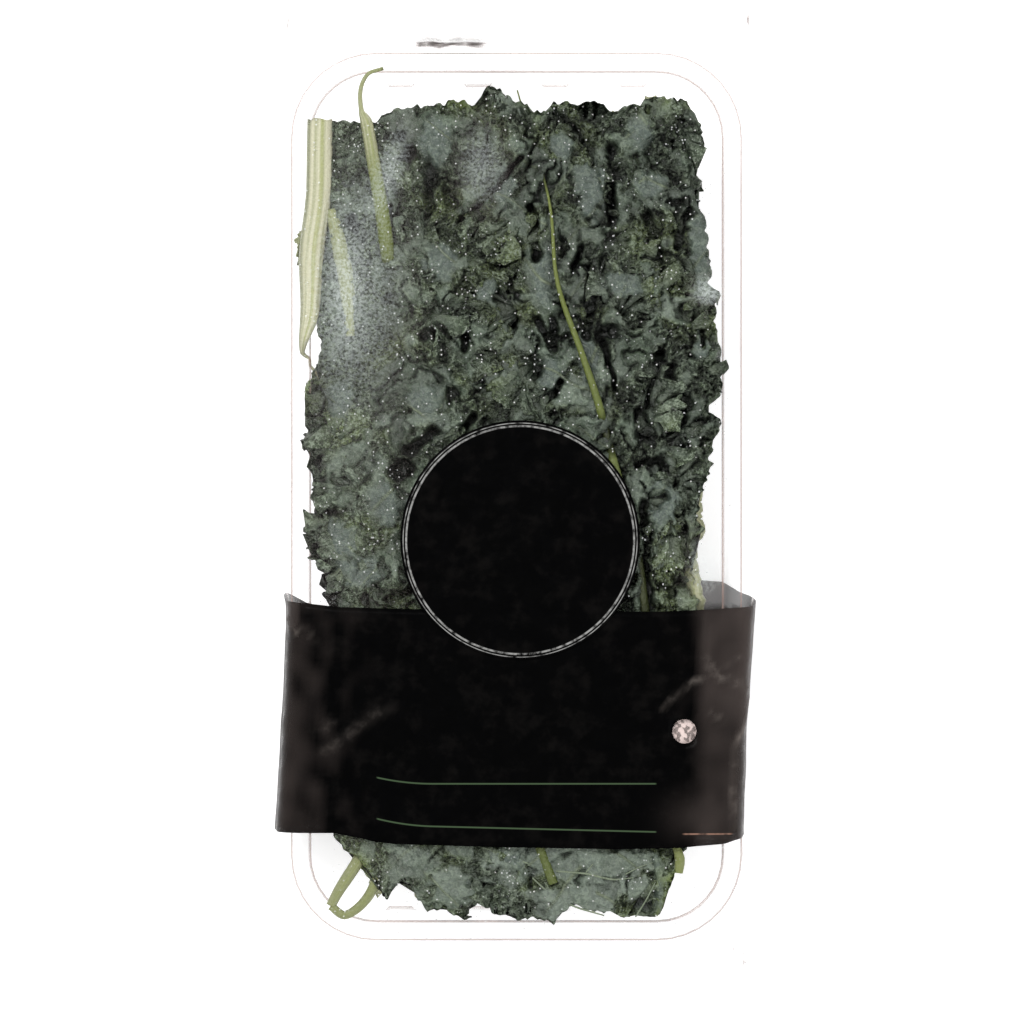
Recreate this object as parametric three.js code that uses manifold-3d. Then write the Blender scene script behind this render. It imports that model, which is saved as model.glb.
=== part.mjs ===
// A pack of curly kale lying on its back: whole leaves laid head to tail in a clear tray,
// in a clear film bag with a black printed band round its lower half.
import * as THREE from 'three';
import { mergeVertices } from 'three/addons/utils/BufferGeometryUtils.js';
import Module from 'manifold-3d';

const wasm = await Module();
wasm.setup();

// Driving dimensions in millimetres. +X runs across the pack, +Y along it and +Z up.
// The origin lies on the surface that the pack rests on, under its middle.
const tray = {
  centreX: -2.5, centreY: -1, rimHalfWidth: 75, rimHalfLength: 147.5, rimWidth: 6.5,
  rimTop: 36.4, lipDrop: 2.4, floorBottom: 1.8, wall: 0.7, draft: 7, footRadius: 3,
  mouthCornerRadius: 22, cornerSteps: 4,
};

// Stacking lugs: four in each short wall, counted in pitches from its middle.
const lug = {
  pitch: 25.8, places: [1.5, 0.5, -0.5, -1.5], halfWidth: 5, flatShare: 0.6, depth: 2.2,
  bottom: 25, top: 33, rampBelow: 2, rampAbove: 1.2,
};
const film = { thickness: 0.5, finHeight: 18, bandClearance: 0.35, bandThickness: 0.6, finFullness: 0.03 };
const band = { topY: -37, bottomLeftY: -112.4, bottomRightY: -116.9 };
const disc = { x: -1.3, y: -15.4, radius: 39.5, sides: 48 };
const vent = { x: 52.8, y: -78.9, radius: 4.3, sides: 16 };

// Heights between which the cutting shapes run, and how far they reach past the sides.
const cutter = { below: -10, throughFront: 35, above: 70, sideReach: 100 };

const heap = {
  firstHeight: 6.1, pitch: 7.5, domePerLayer: 0.7, domeHalfWidth: 72, marginSpacing: [4.8, 4.8, 4.8, 3.4, 3],
};
const blade = {
  thickness: 1.3, ripple: 2.6, leastRipple: 0.6, toothShare: 0.14, leastReach: 1,
  lobes: 6, lobeDepth: 0.17, lobeShiftPerLeaf: 0.37, lobeShiftPerSide: 0.2,
  bluntness: 0.4, widestLean: 0.9,
};
const rib = { atCut: 6.4, atTip: 1.6, stemSteps: 4, stepMultiple: 4 };

// Rows of points outwards from the midrib: share of the way to the margin, one point for how many steps,
// and share of the full ripple.
const bladeRows = [
  { share: 0.4, every: 4, ripple: 0.25 },
  { share: 0.74, every: 2, ripple: 0.6 },
  { share: 1, every: 1, ripple: 1 },
];

// One row for each leaf: its layer in the heap from the bottom, the share of its length that is bare stem,
// the width to the left and to the right of the midrib, and the midrib's route from cut end to tip.
const leaves = [
  { layer: 0, stem: 0.16, half: [27.5, 28.5], route: [[-34, -129], [-33, -60], [-33, 20], [-34, 128]] },
  { layer: 0, stem: 0.18, half: [27.5, 27], route: [[27.5, 127], [28, 50], [28, -30], [27, -130]] },
  { layer: 1, stem: 0.18, half: [28.5, 28], route: [[-35, 129], [-34, 60], [-36, -20], [-35, -131]] },
  { layer: 1, stem: 0.14, half: [29, 28.5], route: [[30, -131], [28, -60], [27, 20], [29, 130]] },
  { layer: 2, stem: 0.16, half: [28.5, 30], route: [[-37, -132], [-35, -60], [-34, 20], [-36, 132]] },
  { layer: 2, stem: 0.16, half: [29, 29.5], route: [[30, 131], [29, 60], [28, -20], [30, -133]] },
  {
    layer: 3, stem: 0.16, half: [16, 17],
    route: [[-57, -132], [-52, -108], [-48, -50], [-50, 20], [-52, 100]],
  },
  { layer: 3, stem: 0.12, half: [22, 26], route: [[11, -129], [4, -100], [-8, -30], [-14, 50], [-18, 134]] },
  { layer: 3, stem: 0.12, half: [21, 24.5], route: [[42, 132.5], [42, 70], [42, 0], [40, -80], [38, -134]] },
  {
    layer: 4, stem: 0.24, half: [25, 22],
    route: [[47, -78], [38.5, -35], [30, 11], [15.5, 61], [9, 105], [-2, 134]],
  },
  {
    layer: 4, stem: 0.27, half: [20, 25],
    route: [[-53, 136.5], [-51, 121], [-45, 74], [-41.5, 20], [-36, -62]],
  },
  {
    layer: 4, stem: 0.46, half: [2, 6], height: 40.7,
    route: [[-67.6, 123], [-68.9, 80], [-70.1, 43], [-69.4, 10], [-66.5, -30]],
  },
  { layer: 4, stem: 0.1, half: [26, 29], route: [[-4, -60], [8, -85], [19, -112], [26, -139]] },
  { layer: 4, stem: 0.1, half: [17, 20], route: [[-26, -68], [-31, -95], [-36, -118], [-38, -139]] },
  { layer: 4, stem: 0.14, half: [11.5, 7.3], route: [[58.5, -52], [58, 10], [52.3, 70], [44.5, 133]] },
];

// Half outline of the filled bag across the pack, from the middle of its back to the middle of its
// front: share of the half width, and height.
const bagOutline = [
  [0, 0], [0.45, 0], [0.86, 0], [0.93, 4], [0.975, 11], [1, 20], [0.99, 31], [0.975, 40.5], [0.93, 44.8],
  [0.84, 46], [0.4, 46.4], [0, 46.6],
];

// The bag along the pack: position, width to the left and to the right, and share of the full height.
const bagStations = [
  [-161, 79, 75, 0.03], [-156, 79, 75, 0.03], [-153.5, 79, 75.5, 0.4], [-150.5, 79.5, 76, 1],
  [-119.5, 81.5, 76, 1], [-118.5, 81.5, 76, 1], [-112, 82.5, 76, 1], [-78.9, 81.5, 77, 1],
  [-37, 79.8, 78, 1], [-34.5, 79.8, 78, 1], [-33.5, 79.8, 78, 1],
  [24, 80.6, 80, 1], [60, 81, 82, 1], [89, 82.5, 83.4, 1],
  [127, 80, 80, 1], [149, 79.5, 77, 1], [152, 79.5, 76.5, 0.4], [156, 80, 76, 0.03], [161, 80, 76, 0.03],
];
const bandLift = { from: -119, to: -34, height: 0.95 };
const discStations = [[-20, 79.8, 78.5, 1], [10, 79.8, 79.5, 1], [30, 80, 80, 1]];

const colours = {
  leaf: ['#5f7364', '#55685b', '#627563', '#4f6354'],
  tray: '#eef1f2',
  film: '#f4f6f7',
  print: '#0b0b0c',
};

// Repeatable draws between 0 and 1 (a small multiplicative generator).
function seededDraws(seed) {
  let state = seed * 7919 + 17;
  return () => {
    state = (state * 16807) % 2147483647;
    return state / 2147483647;
  };
}

function meshGeometry(positions, triangles) {
  const geometry = new THREE.BufferGeometry();
  geometry.setAttribute('position', new THREE.Float32BufferAttribute(positions.flat(), 3));
  geometry.setIndex(triangles.flat());
  return geometry;
}

function toSolid(geometry) {
  const bare = geometry.clone();
  bare.deleteAttribute('normal');
  bare.deleteAttribute('uv');
  const merged = mergeVertices(bare, 1e-4);
  return new wasm.Manifold(new wasm.Mesh({
    numProp: 3,
    vertProperties: Float32Array.from(merged.attributes.position.array),
    triVerts: Uint32Array.from(merged.index.array),
  }));
}

function toGeometry(solid) {
  const result = solid.getMesh();
  const geometry = new THREE.BufferGeometry();
  geometry.setAttribute('position', new THREE.BufferAttribute(Float32Array.from(result.vertProperties), 3));
  geometry.setIndex(new THREE.BufferAttribute(Uint32Array.from(result.triVerts), 1));
  return geometry;
}

// Closed body through a row of loops that all have the same number of points, with flat ends.
// Loops run anticlockwise seen from the end that the row goes towards.
function loftedBody(loops) {
  const count = loops[0].length;
  const positions = loops.flat();
  const triangles = [];
  for (let row = 0; row + 1 < loops.length; row += 1) {
    for (let i = 0; i < count; i += 1) {
      const next = (i + 1) % count;
      const a = row * count + i;
      const b = row * count + next;
      triangles.push([a, b, b + count], [a, b + count, a + count]);
    }
  }
  const last = (loops.length - 1) * count;
  for (let i = 1; i + 1 < count; i += 1) {
    triangles.push([0, i + 1, i], [last, last + i, last + i + 1]);
  }
  return meshGeometry(positions, triangles);
}

// Height of a layer's middle plane: each layer is a little more domed than the one below it.
function bedHeight(layer, x) {
  const across = Math.min(1, Math.abs(x) / heap.domeHalfWidth);
  return heap.firstHeight + heap.pitch * layer + heap.domePerLayer * layer * (1 - across * across);
}

// Triangles between two rows of points that run the same way at different spacings.
function stitchRows(inner, outer, add) {
  let i = 0;
  let j = 0;
  while (i + 1 < inner.length || j + 1 < outer.length) {
    const innerNext = i + 1 < inner.length ? inner[i + 1].along : Infinity;
    const outerNext = j + 1 < outer.length ? outer[j + 1].along : Infinity;
    if (innerNext <= outerNext) {
      add(inner[i], outer[j], inner[i + 1]);
      i += 1;
    } else {
      add(inner[i], outer[j], outer[j + 1]);
      j += 1;
    }
  }
}

// A leaf is one closed body: a stem that runs on as a tapering midrib, and a rippled, lobed blade whose
// two faces carry the same triangles. Each half has rows of points from the midrib out to the margin,
// and each row outwards has twice the points of the one before.
function leafGeometry(leaf, seed) {
  const draw = seededDraws(seed);
  const route = new THREE.CatmullRomCurve3(leaf.route.map(([x, y]) => new THREE.Vector3(x, y, 0)));
  const bladeLength = route.getLength() * (1 - leaf.stem);
  const marginSteps = bladeLength / heap.marginSpacing[leaf.layer];
  const steps = rib.stepMultiple * Math.round(marginSteps / rib.stepMultiple);
  const positions = [];
  const triangles = [];
  const ribWidth = (along) => THREE.MathUtils.lerp(rib.atCut, rib.atTip, along);

  function addPoint(along, sideways, rise, halfThickness) {
    const centre = route.getPointAt(along);
    const ahead = route.getTangentAt(along);
    const x = centre.x + ahead.y * sideways;
    const y = centre.y - ahead.x * sideways;
    const z = (leaf.height ?? bedHeight(leaf.layer, x)) + rise;
    positions.push([x, y, z + halfThickness], [x, y, z - halfThickness]);
    return { along, top: positions.length - 2, bottom: positions.length - 1 };
  }

  function bladeWidth(grown, side) {
    const envelope = Math.sin(Math.PI * grown ** blade.widestLean) ** blade.bluntness;
    const shift = seed * blade.lobeShiftPerLeaf + side * blade.lobeShiftPerSide;
    const lobePhase = 2 * Math.PI * (blade.lobes * grown + shift);
    const lobe = 1 - blade.lobeDepth * (0.5 - 0.5 * Math.cos(lobePhase));
    return leaf.half[side < 0 ? 0 : 1] * envelope * lobe;
  }

  const stemAlong = [];
  for (let i = 0; i <= rib.stemSteps; i += 1) stemAlong.push(leaf.stem * i / rib.stemSteps);
  const bladeAlong = (i) => leaf.stem + (1 - leaf.stem) * i / steps;
  const tip = addPoint(1, 0, 0, blade.thickness / 2);

  const alongRib = [...stemAlong];
  for (let i = rib.stepMultiple; i < steps; i += rib.stepMultiple) alongRib.push(bladeAlong(i));
  const midrib = alongRib.map((along) => addPoint(along, 0, 0, ribWidth(along) / 2));
  midrib.push(tip);

  const ends = [];
  for (const side of [-1, 1]) {
    const face = (a, b, c) => {
      if (a.top === b.top || b.top === c.top || a.top === c.top) return;
      triangles.push(side > 0 ? [a.top, b.top, c.top] : [a.top, c.top, b.top]);
      triangles.push(side > 0 ? [a.bottom, c.bottom, b.bottom] : [a.bottom, b.bottom, c.bottom]);
    };
    const ribEdgePoint = (along) => {
      const radius = ribWidth(along) / 2;
      return addPoint(along, side * radius, 0, Math.max(blade.thickness / 2, radius / 2));
    };
    const ribEdge = alongRib.map(ribEdgePoint);
    const stemEdge = ribEdge.slice(0, stemAlong.length);
    const axil = stemEdge[stemEdge.length - 1];
    ribEdge.push(tip);
    stitchRows(midrib, ribEdge, face);

    let inner = ribEdge.slice(rib.stemSteps);
    for (const { share, every, ripple } of bladeRows) {
      const row = [axil];
      for (let i = every; i < steps; i += every) {
        const sign = (i / every) % 2 ? 1 : -1;
        const along = bladeAlong(i);
        const radius = ribWidth(along) / 2;
        const tooth = share === 1 && sign > 0 ? blade.toothShare : 0;
        const reach = Math.max(blade.leastReach, bladeWidth(i / steps, side) - radius) * (1 - tooth);
        const height = blade.ripple * ripple * THREE.MathUtils.lerp(blade.leastRipple, 1, draw());
        row.push(addPoint(along, side * (radius + share * reach), sign * height, blade.thickness / 2));
      }
      row.push(tip);
      stitchRows(inner, row, face);
      inner = row;
    }

    const rim = [...stemEdge, ...inner.slice(1)];
    for (let i = 0; i + 1 < rim.length; i += 1) {
      const [a, b] = side > 0 ? [rim[i], rim[i + 1]] : [rim[i + 1], rim[i]];
      triangles.push([a.bottom, b.bottom, b.top], [a.bottom, b.top, a.top]);
    }
    ends.push(stemEdge[0]);
  }

  const [left, right] = ends;
  const start = midrib[0];
  triangles.push(
    [start.bottom, right.bottom, right.top], [start.bottom, right.top, start.top],
    [start.bottom, start.top, left.top], [start.bottom, left.top, left.bottom],
  );
  return meshGeometry(positions, triangles);
}

// Rounded rectangle round the tray's centre. Its short sides step in by lugDepth at each stacking lug.
function trayLoop(halfWidth, halfLength, radius, z, lugDepth = 0) {
  const points = [];
  const corners = [[1, -1, -90], [1, 1, 0], [-1, 1, 90], [-1, -1, 180]];
  for (const [signX, signY, startDegrees] of corners) {
    for (let i = 0; i <= tray.cornerSteps; i += 1) {
      const angle = THREE.MathUtils.degToRad(startDegrees + 90 * i / tray.cornerSteps);
      points.push([
        signX * (halfWidth - radius) + radius * Math.cos(angle),
        signY * (halfLength - radius) + radius * Math.sin(angle),
      ]);
    }
    if (signX === signY) {
      const lugOutline = [[1, 0], [lug.flatShare, lugDepth], [-lug.flatShare, lugDepth], [-1, 0]];
      for (const place of lug.places) {
        for (const [offset, depth] of lugOutline) {
          points.push([
            signX * (place * lug.pitch + offset * lug.halfWidth),
            signY * (halfLength - depth),
          ]);
        }
      }
    }
  }
  return points.map(([x, y]) => [x + tray.centreX, y + tray.centreY, z]);
}

// A thin drafted wall from a flat floor up to a flanged rim with a turned-down lip. The outside is
// followed up to the lip and the inside back down to the floor.
function trayGeometry() {
  const mouthX = tray.rimHalfWidth - tray.rimWidth;
  const mouthY = tray.rimHalfLength - tray.rimWidth;
  const flangeUnder = tray.rimTop - tray.wall;
  const lipBottom = tray.rimTop - tray.lipDrop;
  const wallLoop = (z, inset, lugDepth) => {
    const drawnIn = tray.draft * (1 - z / tray.rimTop) + inset;
    return trayLoop(mouthX - drawnIn, mouthY - drawnIn, tray.mouthCornerRadius - drawnIn, z, lugDepth);
  };
  const rimLoop = (z, out) => trayLoop(mouthX + out, mouthY + out, tray.mouthCornerRadius + out, z);
  const floorTop = tray.floorBottom + tray.wall;
  return loftedBody([
    wallLoop(tray.floorBottom, tray.footRadius, 0),
    wallLoop(tray.floorBottom + tray.footRadius, 0, 0),
    wallLoop(lug.bottom - lug.rampBelow, 0, 0),
    wallLoop(lug.bottom, 0, lug.depth),
    wallLoop(lug.top, 0, lug.depth),
    wallLoop(lug.top + lug.rampAbove, 0, 0),
    rimLoop(flangeUnder, 0),
    rimLoop(flangeUnder, tray.rimWidth - tray.wall),
    rimLoop(lipBottom, tray.rimWidth - tray.wall),
    rimLoop(lipBottom, tray.rimWidth),
    rimLoop(tray.rimTop, tray.rimWidth),
    rimLoop(tray.rimTop, -tray.wall),
    wallLoop(lug.top + lug.rampAbove, tray.wall, 0),
    wallLoop(lug.top, tray.wall, lug.depth),
    wallLoop(lug.bottom, tray.wall, lug.depth),
    wallLoop(lug.bottom - lug.rampBelow, tray.wall, 0),
    wallLoop(floorTop + tray.footRadius, tray.wall, 0),
    wallLoop(floorTop, tray.footRadius + tray.wall, 0),
  ]);
}

// The bag's outline across the pack at one station, moved outwards along its normals by grow.
function bagLoop([y, left, right, fullness], grow, bottom) {
  const half = bagOutline.slice(1, -1);
  const outline = [
    ...bagOutline.map(([share, z]) => [share * right, z]),
    ...half.reverse().map(([share, z]) => [-share * left, z]),
  ].map(([x, z]) => [x, film.finHeight + (Math.max(z, bottom) - film.finHeight) * fullness]);
  const count = outline.length;
  return outline.map(([x, z], i) => {
    const [beforeX, beforeZ] = outline[(i + count - 1) % count];
    const [afterX, afterZ] = outline[(i + 1) % count];
    const normal = new THREE.Vector2(afterZ - beforeZ, beforeX - afterX).normalize();
    return [x + normal.x * grow, y, z + normal.y * grow];
  });
}

function bagSolid(stations, grow) {
  const loops = stations.map((station) => {
    const underBand = station[0] > bandLift.from && station[0] < bandLift.to;
    return bagLoop(station, grow, underBand ? bandLift.height : 0);
  });
  return toSolid(loftedBody(loops.reverse()));
}

// Upright round bar through the front of the bag only.
function frontPin({ x, y, radius, sides }) {
  const height = cutter.above - cutter.throughFront;
  const pin = new THREE.CylinderGeometry(radius, radius, height, sides);
  pin.rotateX(Math.PI / 2);
  pin.translate(x, y, cutter.throughFront + height / 2);
  return toSolid(pin);
}

function filmGeometry() {
  const inside = bagStations.filter(([, , , fullness]) => fullness > film.finFullness);
  const wall = bagSolid(bagStations, 0).subtract(bagSolid(inside, -film.thickness));
  return toGeometry(wall.subtract(frontPin(vent)));
}

// The band follows the bag just outside it, from a straight top edge to a slightly slanting bottom edge,
// with a disc that stands above it on the front.
function bandGeometry() {
  const underStrip = bagStations.filter(([y]) => y > bandLift.from && y < bandLift.to);
  const stations = [...underStrip, ...discStations];
  const outside = bagSolid(stations, film.bandClearance + film.bandThickness);
  const shell = outside.subtract(bagSolid(stations, film.bandClearance));

  const reach = cutter.sideReach;
  const strip = new THREE.Shape([
    new THREE.Vector2(-reach, band.topY), new THREE.Vector2(-reach, band.bottomLeftY),
    new THREE.Vector2(reach, band.bottomRightY), new THREE.Vector2(reach, band.topY),
  ]);
  const depth = cutter.above - cutter.below;
  const stripBlock = new THREE.ExtrudeGeometry(strip, { depth, bevelEnabled: false });
  stripBlock.translate(0, 0, cutter.below);
  const outline = toSolid(stripBlock).add(frontPin(disc));
  return toGeometry(shell.intersect(outline).subtract(frontPin(vent)));
}

function pieceMesh(name, geometry, material) {
  const mesh = new THREE.Mesh(geometry, new THREE.MeshStandardMaterial(material));
  mesh.name = name;
  return mesh;
}

const kalePack = new THREE.Group();
leaves.forEach((leaf, i) => {
  const name = `leaf_${String(i + 1).padStart(2, '0')}`;
  const color = colours.leaf[i % colours.leaf.length];
  kalePack.add(pieceMesh(name, leafGeometry(leaf, i + 1), { color, roughness: 0.55, metalness: 0 }));
});
const trayFinish = { color: colours.tray, roughness: 0.08, metalness: 0 };
const filmFinish = { color: colours.film, roughness: 0.06, metalness: 0 };
const printFinish = { color: colours.print, roughness: 0.22, metalness: 0 };
kalePack.add(pieceMesh('tray', trayGeometry(), trayFinish));
kalePack.add(pieceMesh('bag_film', filmGeometry(), filmFinish));
kalePack.add(pieceMesh('printed_band', bandGeometry(), printFinish));

export default kalePack;
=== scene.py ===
import math

import bpy
import numpy as np
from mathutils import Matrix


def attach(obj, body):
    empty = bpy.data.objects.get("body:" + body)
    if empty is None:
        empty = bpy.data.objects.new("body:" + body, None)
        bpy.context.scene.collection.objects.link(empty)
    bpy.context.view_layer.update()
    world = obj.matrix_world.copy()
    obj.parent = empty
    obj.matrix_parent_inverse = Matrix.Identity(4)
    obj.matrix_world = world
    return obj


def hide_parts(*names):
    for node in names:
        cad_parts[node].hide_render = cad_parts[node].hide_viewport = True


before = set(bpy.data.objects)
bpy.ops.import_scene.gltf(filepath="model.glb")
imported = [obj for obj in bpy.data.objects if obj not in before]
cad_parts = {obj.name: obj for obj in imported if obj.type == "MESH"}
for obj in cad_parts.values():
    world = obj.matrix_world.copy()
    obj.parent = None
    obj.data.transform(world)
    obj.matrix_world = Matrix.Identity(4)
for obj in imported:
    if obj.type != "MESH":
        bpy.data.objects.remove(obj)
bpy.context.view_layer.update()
print("frame loaded:", len(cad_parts), "nodes")

# Everything below is worked out in millimetres and turned into metres when a mesh is made.
mm = 0.001


def noiseLine(x, seed):
    # random heights at whole numbers, eased from one to the next
    table = np.random.default_rng(seed).uniform(-1, 1, 256)
    cell = np.floor(x).astype(int)
    t = x - cell
    t = t * t * (3 - 2 * t)
    return table[cell % 256] * (1 - t) + table[(cell + 1) % 256] * t


def noiseField(x, y, seed):
    # a random slope at each corner of a square lattice, blended by 6t^5 - 15t^4 + 10t^3 along both directions
    aim = np.random.default_rng(seed).uniform(0, 2 * np.pi, (64, 64))
    i, j = np.floor(x).astype(int), np.floor(y).astype(int)
    s, t = x - i, y - j
    u, v = (6 * f**5 - 15 * f**4 + 10 * f**3 for f in (s, t))

    def corner(a, b):
        turn = aim[(i + a) % 64, (j + b) % 64]
        return np.cos(turn) * (s - a) + np.sin(turn) * (t - b)

    near = corner(0, 0) * (1 - u) + corner(1, 0) * u
    far = corner(0, 1) * (1 - u) + corner(1, 1) * u
    return 1.5 * (near * (1 - v) + far * v)


def smoothRise(x, start, end):
    # 0 before start, 1 after end, eased between
    t = np.clip((x - start) / (end - start), 0, 1)
    return t * t * (3 - 2 * t)


def splinePath(points, count):
    # a curve through the points: each stretch is a cubic whose end slopes come from its neighbours
    knots = np.array(points, float)
    padded = np.vstack([2 * knots[0] - knots[1], knots, 2 * knots[-1] - knots[-2]])
    t = np.linspace(0, len(knots) - 1, 40 * len(knots))
    i = np.minimum(t.astype(int), len(knots) - 2)
    f = (t - i)[:, None]
    p0, p1, p2, p3 = padded[i], padded[i + 1], padded[i + 2], padded[i + 3]
    dense = 0.5 * (2 * p1 + (p2 - p0) * f + (2 * p0 - 5 * p1 + 4 * p2 - p3) * f**2
                   + (3 * p1 - p0 - 3 * p2 + p3) * f**3)
    arc = np.concatenate([[0], np.cumsum(np.linalg.norm(np.diff(dense, axis=0), axis=1))])
    even = np.linspace(0, arc[-1], count)
    return np.stack([np.interp(even, arc, dense[:, k]) for k in range(knots.shape[1])], -1)


def gridNormals(points):
    # the cross product of the two directions of a grid, made one unit long
    along, across = np.gradient(points, axis=0), np.gradient(points, axis=1)
    normals = np.cross(along, across)
    return normals / np.maximum(np.linalg.norm(normals, axis=-1, keepdims=True), 1e-9)


def gridFaces(rows, columns, start=0):
    # the quads of a rows x columns grid, anticlockwise seen from the side its normals point to
    i, j = np.meshgrid(np.arange(rows - 1), np.arange(columns - 1), indexing="ij")
    a = (start + i * columns + j).ravel()
    return np.stack([a, a + columns, a + columns + 1, a + 1], -1)


def thickSheet(points, thickness, **marks):
    # both faces of a sheet, half its thickness to each side along its normals, joined round the edge
    rows, columns = points.shape[:2]
    offset = gridNormals(points) * thickness / 2
    count = rows * columns
    vertices = np.concatenate([(points + offset).reshape(-1, 3), (points - offset).reshape(-1, 3)])
    index = np.arange(count).reshape(rows, columns)
    ring = np.concatenate([index[0, :-1], index[:-1, -1], index[-1, :0:-1], index[:0:-1, 0]])
    after = np.roll(ring, -1)
    upper = gridFaces(rows, columns)
    lower = gridFaces(rows, columns, count)[:, ::-1]
    rim = np.stack([ring, after, after + count, ring + count], -1)
    values = {name: np.tile(np.broadcast_to(v, (rows, columns)).ravel(), 2) for name, v in marks.items()}
    return vertices, np.concatenate([upper, lower, rim]), values


def roundTube(path, radii, sides=8, flatness=1.0, **marks):
    # a ring of points round each step of the path, square to it, with both ends drawn to a point
    count = len(path)
    ahead = np.gradient(path, axis=0)
    ahead /= np.maximum(np.linalg.norm(ahead, axis=1, keepdims=True), 1e-9)
    sideways = np.cross(ahead, [0, 0, 1.0])
    sideways /= np.maximum(np.linalg.norm(sideways, axis=1, keepdims=True), 1e-9)
    upwards = np.cross(sideways, ahead)
    turn = np.linspace(0, 2 * np.pi, sides, endpoint=False)
    rings = (path[:, None] + radii[:, None, None] * (np.cos(turn)[None, :, None] * sideways[:, None]
             + flatness * np.sin(turn)[None, :, None] * upwards[:, None]))
    vertices = np.concatenate([rings.reshape(-1, 3), path[:1], path[-1:]])
    i, j = np.meshgrid(np.arange(count - 1), np.arange(sides), indexing="ij")
    a, b = (i * sides + j).ravel(), (i * sides + (j + 1) % sides).ravel()
    walls = np.stack([a, a + sides, b + sides, b], -1)
    rim, nextRim = np.arange(sides), (np.arange(sides) + 1) % sides
    first, last = count * sides, count * sides + 1
    startCap = np.stack([rim, nextRim, np.full(sides, first), np.full(sides, first)], -1)
    endCap = np.stack([nextRim, rim, np.full(sides, last), np.full(sides, last)], -1)
    endCap[:, :2] += (count - 1) * sides
    values = {"across": np.append(np.tile(np.cos(turn), count), [0, 0])}
    for name, v in marks.items():
        rows = np.broadcast_to(v, (count, sides))
        values[name] = np.concatenate([rows.ravel(), rows[0, :1], rows[-1, :1]])
    return vertices, np.concatenate([walls, startCap, endCap]), values


def joinParts(parts):
    # several sets of points and faces as one, with every mark that any of them carries
    names = sorted({name for part in parts for name in part[2]})
    shift, vertices, faces, marks = 0, [], [], {name: [] for name in names}
    for points, quads, values in parts:
        vertices.append(points)
        faces.append(quads + shift)
        for name in names:
            marks[name].append(values.get(name, np.zeros(len(points))))
        shift += len(points)
    return np.concatenate(vertices), np.concatenate(faces), {n: np.concatenate(v) for n, v in marks.items()}


def makePiece(name, part, material, nodes=()):
    # writes points in metres, quads (a repeated last corner makes a triangle) and point attributes
    vertices, faces, marks = part
    mesh = bpy.data.meshes.new(name)
    triangle = faces[:, 2] == faces[:, 3]
    sizes = np.where(triangle, 3, 4)
    corners = faces.ravel()[np.stack([np.ones_like(triangle)] * 3 + [~triangle], -1).ravel()]
    mesh.vertices.add(len(vertices))
    mesh.vertices.foreach_set("co", (vertices * mm).astype(np.float32).ravel())
    mesh.loops.add(len(corners))
    mesh.loops.foreach_set("vertex_index", corners.astype(np.int32))
    mesh.polygons.add(len(faces))
    mesh.polygons.foreach_set("loop_start", np.concatenate([[0], np.cumsum(sizes)[:-1]]).astype(np.int32))
    mesh.update(calc_edges=True)
    mesh.polygons.foreach_set("use_smooth", np.ones(len(faces), bool))
    for label, values in marks.items():
        layer = mesh.attributes.new(label, "FLOAT", "POINT")
        layer.data.foreach_set("value", values.astype(np.float32))
    mesh.materials.append(material)
    piece = bpy.data.objects.new(name, mesh)
    bpy.context.scene.collection.objects.link(piece)
    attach(piece, "root")
    if nodes:
        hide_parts(*nodes)
    print("made", name, "with", len(faces), "faces")
    return piece


# The film bag: its half outline from the middle of the back to the middle of the front, as shares of the half
# width with heights, and its stations along the pack: widths to the left and right and share of full height.
bag = {
    "outline": [[0, 0], [0.45, 0], [0.86, 0], [0.93, 4], [0.975, 11], [1, 20], [0.99, 31], [0.975, 40.5],
                [0.93, 44.8], [0.84, 46], [0.4, 46.4], [0, 46.6]],
    "stations": [[-161, 79, 75, 0.012], [-156, 79, 75, 0.02], [-153.5, 79, 75, 0.4], [-150.5, 79.5, 75, 1],
                 [-119.5, 81.5, 73.4, 1], [-112, 82.7, 72.9, 1], [-78.9, 80.7, 74, 1], [-45, 78.9, 76.2, 1],
                 [-37, 79, 76.8, 1], [-33.5, 79.8, 77.2, 1], [24, 80.6, 80, 1], [60, 81, 82, 1],
                 [89, 82.5, 83.4, 1], [127, 80, 80, 1], [149, 79.5, 77, 1], [152, 79.5, 76.5, 0.4],
                 [156, 80, 76, 0.02], [161, 80, 76, 0.012]],
    "finHeight": 18, "liftFrom": -119.5, "liftTo": -33.5, "lift": 0.95, "wall": 0.15,
}


def bagWidth(side, y):
    # the bag's half width to the left where side is below 0 and to the right elsewhere
    place, left, right, _ = np.array(bag["stations"]).T
    return np.where(side < 0, np.interp(y, place, left), np.interp(y, place, right))


def bagFullness(y):
    # the share of the bag's full height at each place along it
    place, _, _, share = np.array(bag["stations"]).T
    return np.interp(y, place, share)


def bagFront(x, y, clearance):
    # height of the front film above a point, less the clearance
    half = np.array(bag["outline"])[5:]
    share = np.clip(np.abs(x) / bagWidth(x, y), 0, 1)
    full = bagFullness(y)
    height = np.interp(share, half[::-1, 0], half[::-1, 1])
    return bag["finHeight"] + (height - bag["finHeight"]) * full - clearance


def softLimit(value, limit, ease, give=0.05):
    # the value below the limit, which it nears smoothly: limit - ease * ln(1 + e^((limit - value) / ease)),
    # and above the limit a small share of what is left over, so that sheets pressed together keep their order
    return limit - ease * np.logaddexp(0, (limit - value) / ease) + give * np.maximum(0, value - limit)


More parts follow.
